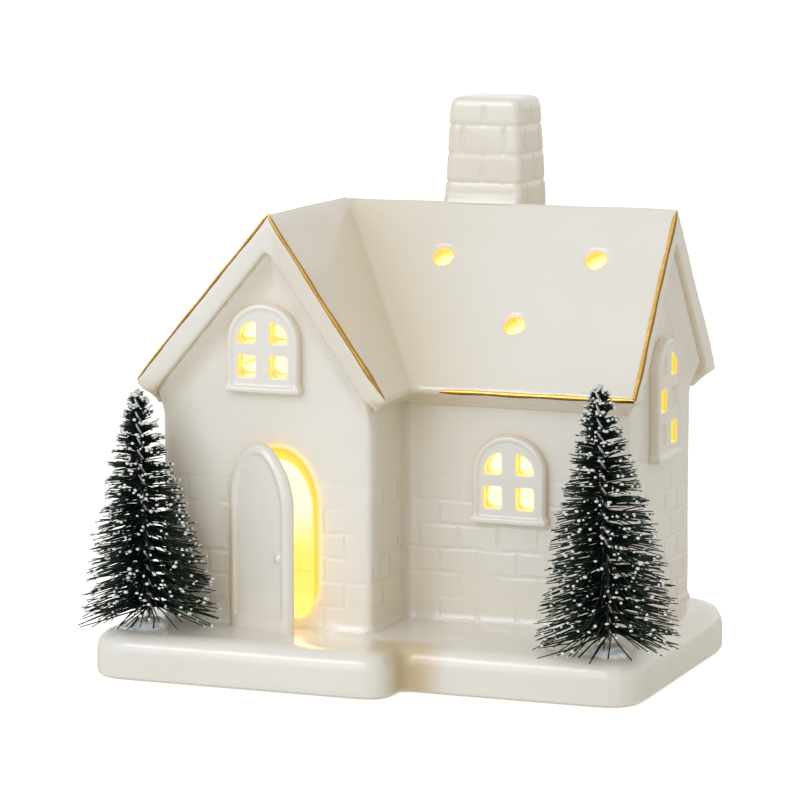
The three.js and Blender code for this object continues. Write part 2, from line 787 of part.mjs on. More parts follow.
const leaf = addPart('door_leaf', buildLeaf(), glaze);
leaf.rotation.z = -leafAngle;
leaf.position.set(
  doorwayX - doorwayWidth / 2 - leafOverlap,
  wingFrontY - lutingGap,
  plinthHeight + leafFootGap);

// Gold lines: a thin strip that follows the edge of the roof

function rakeStrip(gable, fromLow, toHigh) {
  const outer = insetRidge(gable, -trimGap - goldThickness);
  const inner = insetRidge(gable, -trimGap);
  const [rise, fall] = slopes(gable);
  const lowEnd = ([u, z]) => [u - (z - gable.lowEave) / rise, gable.lowEave];
  const highEnd = ([u, z]) => [u + (z - eaveHeight) / fall, eaveHeight];
  const low = fromLow ? [lowEnd(outer), lowEnd(inner)] : [];
  const high = toHigh ? [highEnd(inner), highEnd(outer)] : [];
  return polygon([...high.slice(1), outer, ...low, inner, ...high.slice(0, 1)]);
}

addPart('gold_line_wing_rakes',
  alongY(rakeStrip(wingGable, true, true), wingRakeY, wingRakeY + goldWidth), gold);
addPart('gold_line_main_rake',
  alongX(rakeStrip(mainGable, true, false), mainRakeX - goldWidth, mainRakeX), gold);
const eaveFace = mainGable.low - trimGap;
const eaveLine = block(
  eaveLineStart, mainRakeX, eaveFace - goldThickness, eaveFace, eaveHeight - goldWidth, eaveHeight);
addPart('gold_line_main_eave', eaveLine, gold);

// Trees: a twisted wire in a mound of snow, with bristles that stand out from a sleeve on the wire

function twistedWire(zLow, zHigh) {
  const levels = Math.ceil((zHigh - zLow) / wirePitch * 4);
  const rings = [];
  const heights = [];
  for (let level = 0; level <= levels; level++) {
    const z = zLow + (zHigh - zLow) * level / levels;
    const twist = 2 * Math.PI * z / wirePitch;
    const ring = [];
    for (let i = 0; i < wireSides; i++) {
      const turn = i / wireSides * 2 * Math.PI;
      const point = new THREE.Vector2(wireHalfWidth * Math.cos(turn), wireHalfThickness * Math.sin(turn));
      ring.push(point.rotateAround(new THREE.Vector2(), twist));
    }
    rings.push(ring);
    heights.push(z);
  }
  return loft(rings, heights);
}

// How far a bristle may reach before it would meet the street wall behind it
function freeReach(root, aim, lean, place) {
  let reach = 0;
  const step = 0.25;
  const point = new THREE.Vector3();
  for (let tried = step; tried < treeHeight; tried += step) {
    point.copy(root).addScaledVector(aim, tried).applyMatrix4(lean);
    const overWall = place[0] + point.x > wingCentreX - wingHalfWidth - strandClearance
      && place[0] + point.x < wingCentreX + wingHalfWidth
      && place[1] + point.y > wingFrontY - strandClearance;
    if (overWall || point.z < strandClearance) return reach;
    reach = tried;
  }
  return reach;
}

function strands(place, lean) {
  const vertices = [];
  const faces = [];
  const rootRadius = wireHalfWidth + sleeveFit + sleeveWall / 2;
  const span = treeHeight - treeFirstTier - strandFoot - bareTip;
  for (let i = 0; i < strandCount; i++) {
    const share = i / (strandCount - 1);
    const z = treeFirstTier + strandFoot + share * span;
    const turn = i * goldenAngle;
    const spread = treeTopRadius + treeTaper * (treeHeight - z);
    const rise = strandLift * share ** liftBend - strandDroop;
    const side = new THREE.Vector3(-Math.sin(turn), Math.cos(turn), 0);
    const aim = new THREE.Vector3(Math.cos(turn), Math.sin(turn), rise).normalize();
    const root = new THREE.Vector3(rootRadius * Math.cos(turn), rootRadius * Math.sin(turn), z);
    const wanted = (spread - rootRadius) * (1 - lengthScatter * ((i * 7) % 5) / 4);
    const tip = root.clone().addScaledVector(aim, Math.min(wanted, freeReach(root, aim, lean, place)));
    const over = new THREE.Vector3().crossVectors(aim, side);
    for (const end of [root, tip]) {
      for (let corner = 0; corner < strandSides; corner++) {
        const angle = corner / strandSides * 2 * Math.PI;
        const point = end.clone().addScaledVector(side, strandRadius * Math.cos(angle));
        vertices.push(...point.addScaledVector(over, strandRadius * Math.sin(angle)).toArray());
      }
    }
    const base = vertices.length / 3 - 2 * strandSides;
    for (let corner = 0; corner < strandSides; corner++) {
      const here = base + corner;
      const next = base + (corner + 1) % strandSides;
      faces.push(here, next, next + strandSides, here, next + strandSides, here + strandSides);
    }
    faces.push(base, base + 2, base + 1, base + 3, base + 4, base + 5);
  }
  const geometry = new THREE.BufferGeometry();
  geometry.setAttribute('position', new THREE.Float32BufferAttribute(vertices, 3));
  geometry.setIndex(faces);
  return solid(geometry);
}

function sleeve() {
  const inner = wireHalfWidth + sleeveFit;
  const outer = inner + sleeveWall;
  return solid(turned([
    [inner, treeFirstTier - 1], [outer, treeFirstTier - 1],
    [outer, treeHeight], [inner, treeHeight], [inner, treeFirstTier - 1],
  ], 10));
}

function addTree(side, place) {
  const mound = addPart(`${side}_tree_mound`, turned([
    [wireHalfWidth + 2 * sleeveFit, 0], [moundRadius, 0], [moundRadius * 0.9, moundHeight * 0.4],
    [moundRadius * 0.55, moundHeight * 0.9], [wireHalfWidth + 2 * sleeveFit, moundHeight],
    [wireHalfWidth + 2 * sleeveFit, 0],
  ], 16), snow);
  mound.position.set(...place, plinthHeight);
  const tree = new THREE.Group();
  tree.position.set(...place, plinthHeight);
  tree.rotation.y = -treeLean;
  ornament.add(tree);
  const lean = new THREE.Matrix4().makeRotationY(-treeLean);
  addPart(`${side}_tree_wire`, twistedWire(lutingGap, treeHeight + bareTip), steelWire, tree);
  addPart(`${side}_tree_bristles`, sleeve().add(strands(place, lean)), fir, tree);
}

addTree('left', leftTree);
addTree('right', rightTree);

// The light module: a round plastic housing that plugs up into the hole in the plinth

function doorOutline(grow, zLow, zHigh) {
  const ear = post(bossRadius + grow, zLow, zHigh, cellX, screwReach);
  const neck = block(cellX - bossRadius - grow, cellX + bossRadius + grow, 0, screwReach, zLow, zHigh);
  return post(doorRadius + grow, zLow, zHigh, cellX, 0, 32).add(ear).add(neck);
}

function buildHousing() {
  const shell = solid(turned([
    [0, flangeFoot], [flangeRadius, flangeFoot], [flangeRadius, floorTop],
    [housingRadius, floorTop], [housingRadius, housingTop], [0, housingTop],
  ]));
  const cavity = post(housingBore, floorTop, cavityTop, 0, 0, 32);
  const wellRing = post(wellOuter, floorTop, wellTop, cellX, 0, 32);
  const boss = post(bossRadius, floorTop, wellTop, cellX, screwReach);
  const boardPosts = [-1, 1].map(
    (side) => post(boardPostRadius, boardTop, cavityTop, 0, side * boardPostReach, 12));
  const clipNotch = block(
    -housingRadius, cellX - cellRadius + contactThickness,
    -contactWidth / 2 - runningGap, contactWidth / 2 + runningGap, floorTop, wellTop + 1);
  const well = wellRing.add(boss)
    .subtract(post(wellInner, 0, far, cellX, 0, 32))
    .subtract(clipNotch)
    .subtract(post(screwShankRadius + runningGap, 0, far, cellX, screwReach, 12));
  const halfSlotX = sliderWidth / 2 + runningGap;
  const halfSlotY = (switchTravel + sliderLength) / 2 + runningGap;
  const switchSlot = block(
    switchX - halfSlotX, switchX + halfSlotX, -halfSlotY, halfSlotY, 0, floorTop + 0.1);
  return shell.subtract(cavity)
    .subtract(doorOutline(runningGap, 0, floorTop))
    .add(well)
    .add(joined(boardPosts))
    .subtract(post(ledRadius + runningGap, boardTop + ledRimHeight + 0.5, far, 0, 0, 16))
    .subtract(switchSlot);
}

addPart('module_housing', buildHousing(), whitePlastic, lightModule);

const gasketInner = housingRadius + gasketFit;
addPart('module_gasket', turned([
  [gasketInner, floorTop], [flangeRadius, floorTop], [flangeRadius, floorTop + gasketLip],
  [gasketInner + gasketWall, floorTop + gasketLip], [gasketInner + gasketWall, floorTop + gasketHeight],
  [gasketInner, floorTop + gasketHeight], [gasketInner, floorTop],
], 36), silicone, lightModule);

const doorTop = flangeFoot + doorThickness;
const screwHeadTop = flangeFoot + screwHeadHeight;

function buildDoor() {
  return doorOutline(0, flangeFoot, doorTop)
    .subtract(post(screwHeadRadius + runningGap, 0, screwHeadTop, cellX, screwReach, 16))
    .subtract(post(screwShankRadius + runningGap, 0, far, cellX, screwReach, 12));
}

function buildScrew() {
  const halfSlot = screwSlotWidth / 2;
  const slot = block(
    cellX - far, cellX + far, screwReach - halfSlot, screwReach + halfSlot, 0, flangeFoot + screwSlotDepth);
  return post(screwHeadRadius, flangeFoot, screwHeadTop, cellX, screwReach, 16)
    .add(post(screwShankRadius, screwHeadTop - 0.1, screwHeadTop + screwLength, cellX, screwReach, 10))
    .subtract(slot);
}

addPart('battery_door', buildDoor(), whitePlastic, lightModule);
addPart('battery_door_screw', buildScrew(), springSteel, lightModule);

const cellFoot = doorTop + runningGap;
const cell = addPart('coin_cell', turned([
  [0, 0], [cellRadius * 0.8, 0], [cellRadius * 0.83, cellThickness * 0.15], [cellRadius, cellThickness * 0.2],
  [cellRadius, cellThickness], [0, cellThickness],
]), springSteel, lightModule);
cell.position.set(cellX, 0, cellFoot);

// Sprung leaf between the cell's top and the board
const cellTop = cellFoot + cellThickness;
const leafFoot = cellTop + runningGap;
const leafTop = boardFoot - contactLift;
const bendX = cellX - contactReach / 2;
const touchX = bendX + contactReach;
const noseX = touchX + contactNose;
const leafStrip = polygon([
  [bendX - contactReach, leafTop - contactThickness], [bendX, leafTop - contactThickness],
  [touchX, leafFoot], [noseX, leafFoot], [noseX + contactNose, leafFoot + contactNose],
  [noseX + contactNose - contactThickness, leafFoot + contactNose + contactThickness],
  [noseX - contactThickness / 2, leafFoot + contactThickness],
  [touchX + contactThickness / 2, leafFoot + contactThickness],
  [bendX + contactThickness / 2, leafTop], [bendX - contactReach, leafTop],
]);
addPart('contact_leaf', alongY(leafStrip, -contactWidth / 2, contactWidth / 2), springSteel, lightModule);

// Clip that touches the cell's rim and turns in under the board
const clipX = cellX - cellRadius - runningGap;
const clipStrip = polygon([
  [clipX - contactThickness, floorTop + runningGap], [clipX, floorTop + runningGap],
  [clipX, leafTop - contactThickness], [clipX + clipTurn, leafTop - contactThickness],
  [clipX + clipTurn, leafTop], [clipX - contactThickness, leafTop],
]);
addPart('contact_clip', alongY(clipStrip, -contactWidth / 2, contactWidth / 2), springSteel, lightModule);

addPart('circuit_board', post(boardRadius, boardFoot, boardTop, 0, 0, 32), boardGreen, lightModule);

function ledProfile() {
  const shoulder = boardTop + ledLength - ledRadius;
  const points = [[0, boardTop], [ledRimRadius, boardTop], [ledRimRadius, boardTop + ledRimHeight],
    [ledRadius, boardTop + ledRimHeight]];
  for (let step = 0; step <= 5; step++) {
    const turn = step / 5 * Math.PI / 2;
    points.push([ledRadius * Math.cos(turn), shoulder + ledRadius * Math.sin(turn)]);
  }
  points.at(-1)[0] = 0;
  return points;
}

addPart('led_lamp', turned(ledProfile(), 16), warmLens, lightModule);

// Slide switch: a case on the housing's floor, pinned to the board, and the slider in its slot
const caseFoot = floorTop;
const trackFoot = caseFoot + trackSill;
const trackTop = trackFoot + trackHeight;

function buildSwitchCase() {
  const halfWidth = switchWidth / 2;
  const halfTrack = (switchTravel + sliderLength) / 2 + runningGap;
  const pins = [-1, 0, 1].map((side) => post(
    switchPinRadius, caseFoot + switchHeight - 0.1, boardFoot, switchX, side * switchPinPitch, 8));
  return block(switchX - halfWidth, switchX + halfWidth, -switchLength / 2, switchLength / 2, caseFoot,
    caseFoot + switchHeight)
    .subtract(block(switchX - sliderWidth / 2 - runningGap, switchX + sliderWidth / 2 + runningGap,
      -halfTrack, halfTrack, 0, trackFoot + 0.1))
    .subtract(block(switchX - sliderWidth - runningGap, switchX + sliderWidth + runningGap,
      -halfTrack - runningGap, halfTrack + runningGap, trackFoot, trackTop))
    .add(joined(pins));
}

function buildSlider() {
  const y = -switchTravel / 2;
  const half = sliderLength / 2;
  const stem = block(switchX - sliderWidth / 2, switchX + sliderWidth / 2, y - half, y + half,
    flangeFoot + sliderInset, trackTop - runningGap);
  const head = block(switchX - sliderWidth, switchX + sliderWidth, y - half - sliderLip, y + half + sliderLip,
    trackFoot + runningGap, trackTop - runningGap);
  return stem.add(head);
}

addPart('switch_case', buildSwitchCase(), blackPlastic, lightModule);
addPart('switch_slider', buildSlider(), blackPlastic, lightModule);

// The origin lies at the middle of the box's underside
ornament.updateMatrixWorld(true);
const bounds = new THREE.Box3().setFromObject(ornament, true);
const middle = bounds.getCenter(new THREE.Vector3());
ornament.position.set(-middle.x, -middle.y, 0);

export default ornament;
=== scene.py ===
import math
import random

import bpy
import numpy as np
from mathutils import Matrix, Vector
from mathutils.bvhtree import BVHTree


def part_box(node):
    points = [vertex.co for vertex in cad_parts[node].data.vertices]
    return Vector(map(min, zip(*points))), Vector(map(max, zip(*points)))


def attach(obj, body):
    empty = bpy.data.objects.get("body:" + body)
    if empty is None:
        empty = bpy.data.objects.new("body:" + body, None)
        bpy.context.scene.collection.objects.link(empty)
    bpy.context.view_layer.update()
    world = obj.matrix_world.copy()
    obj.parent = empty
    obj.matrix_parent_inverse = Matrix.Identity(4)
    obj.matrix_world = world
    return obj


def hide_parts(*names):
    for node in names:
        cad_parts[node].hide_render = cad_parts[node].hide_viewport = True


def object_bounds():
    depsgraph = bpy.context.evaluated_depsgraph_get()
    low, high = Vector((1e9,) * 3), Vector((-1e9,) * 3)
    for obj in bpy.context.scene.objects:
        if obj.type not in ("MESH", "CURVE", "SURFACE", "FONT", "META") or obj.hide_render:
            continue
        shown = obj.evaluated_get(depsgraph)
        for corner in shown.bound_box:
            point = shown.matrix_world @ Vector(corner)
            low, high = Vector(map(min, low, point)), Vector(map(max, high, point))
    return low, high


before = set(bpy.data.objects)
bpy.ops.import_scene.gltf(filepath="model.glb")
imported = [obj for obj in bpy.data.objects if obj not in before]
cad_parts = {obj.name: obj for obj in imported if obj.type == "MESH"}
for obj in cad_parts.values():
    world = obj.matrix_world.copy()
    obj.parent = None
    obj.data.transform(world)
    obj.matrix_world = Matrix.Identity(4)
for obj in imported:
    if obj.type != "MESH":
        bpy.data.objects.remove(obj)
cad_low, cad_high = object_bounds()
bpy.ops.object.select_all(action="DESELECT")

# The ornament stands on a pale table in soft daylight, seen from a little right of its
# street front and slightly above. The lens is long, so its upright edges stay parallel.
eye = Vector((0.33137, -0.87989, 0.19811))
eye_azimuth = math.radians(21.065)
eye_height = math.radians(8.119)
away = Vector((
    math.sin(eye_azimuth) * math.cos(eye_height),
    -math.cos(eye_azimuth) * math.cos(eye_height),
    math.sin(eye_height)))
bpy.ops.object.camera_add(location=eye, rotation=away.to_track_quat("Z", "Y").to_euler())
camera = bpy.context.object
camera.name = "photo_camera"
camera.data.lens = 176.68
camera.data.sensor_width = 36
camera.data.clip_start = 0.01
bpy.context.scene.camera = camera
bpy.context.scene.view_settings.view_transform = "Standard"


# These functions build the trees of nodes that the materials and the world are made with
def connect(tree, node, inputs):
    """Sets inputs of a node. Each gets a node or socket to link, a number, place or colour."""
    for socket_name, value in inputs.items():
        socket = node.inputs[socket_name]
        if isinstance(value, bpy.types.Node):
            value = value.outputs[0]
        if isinstance(value, bpy.types.NodeSocket):
            tree.links.new(value, socket)
        elif socket.type == "RGBA":
            socket.default_value = (*value, 1)
        else:
            socket.default_value = value


def add_node(tree, kind, inputs=None, **settings):
    """A new node of a tree, with its settings and inputs."""
    made = tree.nodes.new(f"ShaderNode{kind}")
    for setting, value in settings.items():
        setattr(made, setting, value)
    connect(tree, made, inputs or {})
    return made


def maths(tree, operation, first, second=0.0):
    return add_node(tree, "Math", {0: first, 1: second}, operation=operation).outputs[0]


def new_material(name):
    """A new material and its tree of nodes."""
    made = bpy.data.materials.new(name)
    made.use_nodes = True
    return made, made.node_tree


def place_on(tree):
    """The piece's own coordinates, from one node that the tree keeps."""
    found = tree.nodes.get("place") or add_node(tree, "TexCoord")
    found.name = "place"
    return found.outputs["Object"]


def noise_of(tree, scale, detail):
    """Noise over the piece, with its scale per metre."""
    return add_node(tree, "TexNoise", {
        "Vector": place_on(tree), "Scale": scale, "Detail": detail}).outputs["Fac"]


def step_between(tree, value, low, high, to_low=0.0, to_high=1.0):
    """A smooth rise from to_low to to_high while a value goes from low to high."""
    return add_node(tree, "MapRange", {
        "Value": value, "From Min": low, "From Max": high, "To Min": to_low, "To Max": to_high},
        interpolation_type="SMOOTHSTEP").outputs[0]


def mixed(tree, share, first, second):
    """A colour between two colours."""
    return add_node(tree, "Mix", {0: share, 6: first, 7: second}, data_type="RGBA").outputs[2]


def toned(name, grain, detail, dark, light, **settings):
    """A finish whose tone varies between two colours. grain is its noise's scale, and the
    settings are the shader's, with _ for a space."""
    made, tree = new_material(name)
    tone = mixed(tree, noise_of(tree, grain, detail), dark, light)
    inputs = {setting.replace("_", " "): value for setting, value in settings.items()}
    connect(tree, tree.nodes["Principled BSDF"], {"Base Color": tone, **inputs})
    return made


# The table top is a plain white card that keeps the ornament's shadow. It is let out of
# sight from below, so that the base and its light unit can be looked at, and a ray that
# has come less than 3 mm passes it too, so that it doesn't darken the foot.
bpy.ops.mesh.primitive_plane_add(size=8, location=(0, 0, -0.0002))
table = bpy.context.object
table.name = "table_top"
card, tree = new_material("white_card")
tree.nodes.clear()
paper = add_node(tree, "BsdfDiffuse", {"Color": (0.92, 0.93, 0.94)})
lift = add_node(tree, "Emission", {"Color": (1, 1, 1), "Strength": 0.58})
lifted = add_node(tree, "AddShader", {0: paper, 1: lift})
ray = add_node(tree, "LightPath")
for_eye = add_node(tree, "MixShader", {0: ray.outputs["Is Camera Ray"], 1: paper, 2: lifted})
passes_within = 0.003
short = maths(tree, "LESS_THAN", ray.outputs["Ray Length"], passes_within)
side = add_node(tree, "NewGeometry")
let_through = maths(tree, "MAXIMUM", side.outputs["Backfacing"], short)
clear = add_node(tree, "BsdfTransparent")
passed = add_node(tree, "MixShader", {0: let_through, 1: for_eye, 2: clear})
add_node(tree, "OutputMaterial", {"Surface": passed})
table.data.materials.append(card)

# Soft daylight all round, a little warm, with one broad window light in front and to the
# left. The eye, the glaze's gloss and clear pieces see a white room with one bright pane.
daylight = bpy.data.worlds.new("daylight")
bpy.context.scene.world = daylight
daylight.use_nodes = True
tree = daylight.node_tree
tree.nodes.clear()
soft = add_node(tree, "Background", {"Color": (0.98, 0.93, 0.81), "Strength": 0.68})
toward = add_node(tree, "TexCoord")
to_pane = add_node(tree, "VectorMath", {
    0: toward.outputs["Generated"], 1: Vector((-0.34, -0.72, 0.60)).normalized()},
    operation="DOT_PRODUCT")
bright_pane = add_node(tree, "MapRange", {
    "Value": to_pane.outputs["Value"], "From Min": 0.960, "From Max": 0.988, "To Min": 1.0,
    "To Max": 4.0}, interpolation_type="SMOOTHSTEP")
room = add_node(tree, "Background", {"Color": (1, 1, 1), "Strength": bright_pane})
ray = add_node(tree, "LightPath")
direct = maths(tree, "MAXIMUM", ray.outputs["Is Camera Ray"], ray.outputs["Is Glossy Ray"])
seen = maths(tree, "MAXIMUM", direct, ray.outputs["Is Transmission Ray"])
chosen = add_node(tree, "MixShader", {0: seen, 1: soft, 2: room})
add_node(tree, "OutputWorld", {"Surface": chosen})


def add_light(kind, name, place, energy, colour):
    bpy.ops.object.light_add(type=kind, location=place)
    made = bpy.context.object
    made.name = name
    made.data.energy = energy
    made.data.color = colour
    return made


window_place = Vector((-0.36, -1.25, 0.62))
window_aim = Vector((0, 0, 0.05))
window_light = add_light("AREA", "window_light", window_place, 6.6, (0.80, 0.885, 1.0))
window_light.data.shape = "RECTANGLE"
window_light.data.size = 1.3
window_light.data.size_y = 1.0
window_light.rotation_euler = (window_place - window_aim).to_track_quat("Z", "Y").to_euler()

# The lamp inside the house is one small warm light-emitting diode on its board. Its light
# fills both rooms and falls out through the doorway on to the porch.
lamp_low, lamp_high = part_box("led_lamp")
lamp_middle = (lamp_low + lamp_high) / 2
over_lamp = (lamp_middle.x, lamp_middle.y, lamp_high.z + 0.003)
lamp_glow = add_light("POINT", "lamp_glow", over_lamp, 0.055, (1.0, 0.72, 0.30))
lamp_glow.data.shadow_soft_size = 0.0025
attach(lamp_glow, "light_module")

wall_low, wall_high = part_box("house_walls")
in_doorway = (-0.0262, wall_low.y + 0.0040, 0.0295)
doorway_glow = add_light("AREA", "doorway_glow", in_doorway, 0.0019, (1.0, 0.50, 0.09))
doorway_glow.rotation_euler = (math.radians(-80), 0, 0)
doorway_glow.data.shape = "ELLIPSE"
doorway_glow.data.size = 0.010
doorway_glow.data.size_y = 0.028
doorway_glow.visible_camera = False
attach(doorway_glow, "house")

# The ceramic is slip-cast porcelain under a clear glossy glaze, with painted shade, a darker
# and warmer tone, in its hollows and on some shaded faces. The walls carry a faint brick pattern
# from the mould, and the foot that the piece was fired on is bare. Light from inside is painted
# as a glow on every inner face.
white_glaze = (0.876, 0.860, 0.832)
cloudy_glaze = (0.866, 0.845, 0.810)
iron_speck = (0.42, 0.30, 0.19)
hollow_shade_colour = (0.85, 0.735, 0.55)
painted_shade_colour = (0.68, 0.56, 0.37)
bare_clay = (0.70, 0.64, 0.55)
under_lamplight = (0.03, 0.02, 0.01)
speck_strength = 0.35
bare_roughness = 0.8
mortar_depth = 0.9
ripple_height = 0.13

tree = bpy.data.node_groups.new("cast_and_glazed", "ShaderNodeTree")
glaze_effect = tree
for socket_name, way, kind in (
        ("Brickwork", "INPUT", "Float"), ("Shade In Hollows", "INPUT", "Float"),
        ("Colour", "OUTPUT", "Color"), ("Roughness", "OUTPUT", "Float"),
        ("Relief", "OUTPUT", "Float"), ("Lamplight", "OUTPUT", "Color")):
    tree.interface.new_socket(socket_name, in_out=way, socket_type=f"NodeSocket{kind}")
given = tree.nodes.new("NodeGroupInput").outputs
result = tree.nodes.new("NodeGroupOutput")
place = place_on(tree)
position = add_node(tree, "SeparateXYZ", {0: place}).outputs
facing = add_node(tree, "NewGeometry")
facing_parts = add_node(tree, "SeparateXYZ", {0: facing.outputs["Normal"]}).outputs

cloud = step_between(tree, noise_of(tree, 55, 2), 0.38, 0.66)
tone = mixed(tree, cloud, white_glaze, cloudy_glaze)
specks = add_node(tree, "TexVoronoi", {"Vector": place, "Scale": 260})
speck = step_between(tree, specks.outputs["Distance"], 0.035, 0.02)
rare = step_between(tree, noise_of(tree, 90, 0), 0.6, 0.66)
speck_shown = maths(tree, "MULTIPLY", maths(tree, "MULTIPLY", speck, rare), speck_strength)
speckled = mixed(tree, speck_shown, tone, iron_speck)
# Painted shade: the glaze is darkened and warmed in hollows that ambient occlusion finds, and by the
# painted shade share that a piece writes on its vertices
shelter = add_node(tree, "AmbientOcclusion", {"Distance": 0.028}, samples=6)
hollow = step_between(tree, shelter.outputs["AO"], 0.95, 0.35)
above_base = step_between(tree, position["Z"], 0.008, 0.016)
thick = maths(tree, "MULTIPLY", maths(tree, "MULTIPLY", hollow, above_base), given["Shade In Hollows"])
shaded_glaze = mixed(tree, thick, speckled, hollow_shade_colour)
painted_shade = add_node(tree, "Attribute", attribute_name="painted_shade")
shaded_glaze = mixed(tree, painted_shade.outputs["Fac"], shaded_glaze, painted_shade_colour)
foot = step_between(tree, position["Z"], 0.0009, 0.0003)
fired = mixed(tree, foot, shaded_glaze, bare_clay)
lit = add_node(tree, "Attribute", attribute_name="lamplight").outputs["Fac"]
colour = mixed(tree, step_between(tree, lit, 0.12, 0.4), fired, under_lamplight)
gloss = step_between(tree, noise_of(tree, 120, 2), 0.3, 0.75, 0.14, 0.24)
roughness = maths(tree, "MAXIMUM", gloss, maths(tree, "MULTIPLY", foot, bare_roughness))

# Bricks run along the street on faces that look to the street, and inwards on end faces
on_end_face = maths(tree, "GREATER_THAN", maths(tree, "ABSOLUTE", facing_parts["X"]), 0.7)
along = add_node(tree, "Mix", {0: on_end_face, 2: position["X"], 3: position["Y"]})
wall_place = add_node(tree, "CombineXYZ", {0: along, 1: position["Z"]})
shift = add_node(tree, "TexNoise", {"Vector": place, "Scale": 140})
uneven = add_node(tree, "VectorMath", {
    0: shift.outputs["Color"], 1: (0.0012, 0.0012, 0), 2: wall_place}, operation="MULTIPLY_ADD")
bricks = add_node(tree, "TexBrick", {
    "Vector": uneven, "Scale": 1, "Mortar Size": 0.0009, "Mortar Smooth": 1.0,
    "Brick Width": 0.0102, "Row Height": 0.0059})
worn = step_between(tree, noise_of(tree, 75, 1), 0.34, 0.56)
low_walls = step_between(tree, position["Z"], 0.056, 0.034)
mortar = maths(tree, "MULTIPLY", bricks.outputs["Fac"], maths(tree, "MULTIPLY", worn, low_walls))
mortar = maths(tree, "MULTIPLY", maths(tree, "MULTIPLY", mortar, given["Brickwork"]), -mortar_depth)
ripple = maths(tree, "MULTIPLY", noise_of(tree, 520, 1), ripple_height)
relief = maths(tree, "ADD", mortar, ripple)

warmth = add_node(tree, "ValToRGB", {"Fac": lit})
warmth.color_ramp.elements[0].color = (0, 0, 0, 1)
warmth.color_ramp.elements[1].color = (1.0, 1.0, 0.74, 1)
for share, red, green, blue in (
        (0.10, 0.12, 0.060, 0.007), (0.30, 0.92, 0.54, 0.045), (0.50, 1.0, 0.76, 0.10),
        (0.70, 1.0, 0.91, 0.20), (0.85, 1.0, 0.97, 0.45)):
    warmth.color_ramp.elements.new(share).color = (red, green, blue, 1)
connect(tree, result, {
    "Colour": colour, "Roughness": roughness, "Relief": relief, "Lamplight": warmth})


def glazed(name, brickwork, hollow_shading):
    """The glaze, with its share of the brick pattern and the strength of the shade painted in its
    hollows.
    """
    made, tree = new_material(name)
    effect = add_node(
        tree, "Group", {"Brickwork": brickwork, "Shade In Hollows": hollow_shading}, node_tree=glaze_effect)
    relief = add_node(tree, "Bump", {
        "Height": effect.outputs["Relief"], "Distance": 0.0005, "Strength": 0.5})
    connect(tree, tree.nodes["Principled BSDF"], {
        "Base Color": effect.outputs["Colour"], "Roughness": effect.outputs["Roughness"],
        "Normal": relief, "Emission Color": effect.outputs["Lamplight"],
        "Emission Strength": 1.0, "IOR": 1.5, "Coat Weight": 0.35, "Coat Roughness": 0.06})
    return made


plain_glaze = glazed("clear_glaze", 0.0, 0.6)
roof_glaze = glazed("clear_glaze_on_roof", 0.0, 2.0)
brick_glaze = glazed("clear_glaze_over_bricks", 1.0, 0.55)


def copy_of(node, name):
    """A copy of a solid. It is left in edit mode, merged and with everything selected."""
    made = bpy.data.objects.new(name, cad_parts[node].data.copy())
    bpy.context.scene.collection.objects.link(made)
    made.data.materials.clear()
    bpy.ops.object.select_all(action="DESELECT")
    made.select_set(True)
    bpy.context.view_layer.objects.active = made
    bpy.ops.object.mode_set(mode="EDIT")
    bpy.ops.mesh.select_all(action="SELECT")
    bpy.ops.mesh.remove_doubles(threshold=1e-6)
    return made


def reshape(piece, kind, **settings):
    """Runs one modifier over the active piece and keeps its result."""
    tool = piece.modifiers.new(kind.lower(), kind)
    for setting, value in settings.items():
        setattr(tool, setting, value)
    bpy.ops.object.modifier_apply(modifier=tool.name)


def cast(node, name, grain, rounds):
    """A copy of a solid with its edges run soft, as slip and glaze leave them. grain is the
    size of the new faces in metres, and rounds how often they are smoothed."""
    made = copy_of(node, name)
    bpy.ops.mesh.normals_make_consistent(inside=False)
    bpy.ops.object.mode_set(mode="OBJECT")
    reshape(made, "REMESH", mode="VOXEL", voxel_size=grain, use_smooth_shade=True)
    reshape(made, "SMOOTH", factor=0.5, iterations=rounds)
    return made


def rows_of(piece, kind):
    """One row for each vertex of a piece: its place with co, or its normal with normal."""
    rows = np.empty(len(piece.data.vertices) * 3, np.float32)
    piece.data.vertices.foreach_get(kind, rows)
    return rows.reshape(-1, 3).astype(float)


def set_points(piece, places):
    piece.data.vertices.foreach_set("co", places.astype(np.float32).ravel())
    piece.data.update()


def waver(places, size, share=1.0):
    """The slow unevenness of a hand-finished cast, as an offset for each place."""
    x, y, z = (places / share).T
    waves = [
        np.sin(310 * x + 170 * z + 1.3) + np.sin(230 * y - 120 * z + 0.4),
        np.sin(270 * y + 190 * x + 2.1) + np.sin(330 * z + 140 * x),
        np.sin(290 * x - 210 * y + 0.7) + np.sin(180 * y + 260 * z + 1.9)]
    return np.stack(waves, axis=1) * size / 2


def eased(value, low, high):
    """0 at low, 1 at high, a smooth rise between, and no change beyond either."""
    share = np.clip((value - low) / (high - low), 0, 1)
    return share * share * (3 - 2 * share)


def quarter_round(share):
    """How far a quarter-round fillet stands out, from 1 at its foot to 0 at its end."""
    return 1 - np.sqrt(1 - (1 - share) ** 2)


def write_share(piece, name, amount):
    """Keeps a share from 0 to 1 on each vertex, which the glaze reads by its name. One share
    is painted shade, which darkens and warms the glaze, and the other, lamplight, is the light
    from inside, painted as a glow."""
    kept = piece.data.attributes.new(name, "FLOAT", "POINT")
    kept.data.foreach_set("value", amount.astype(np.float32))


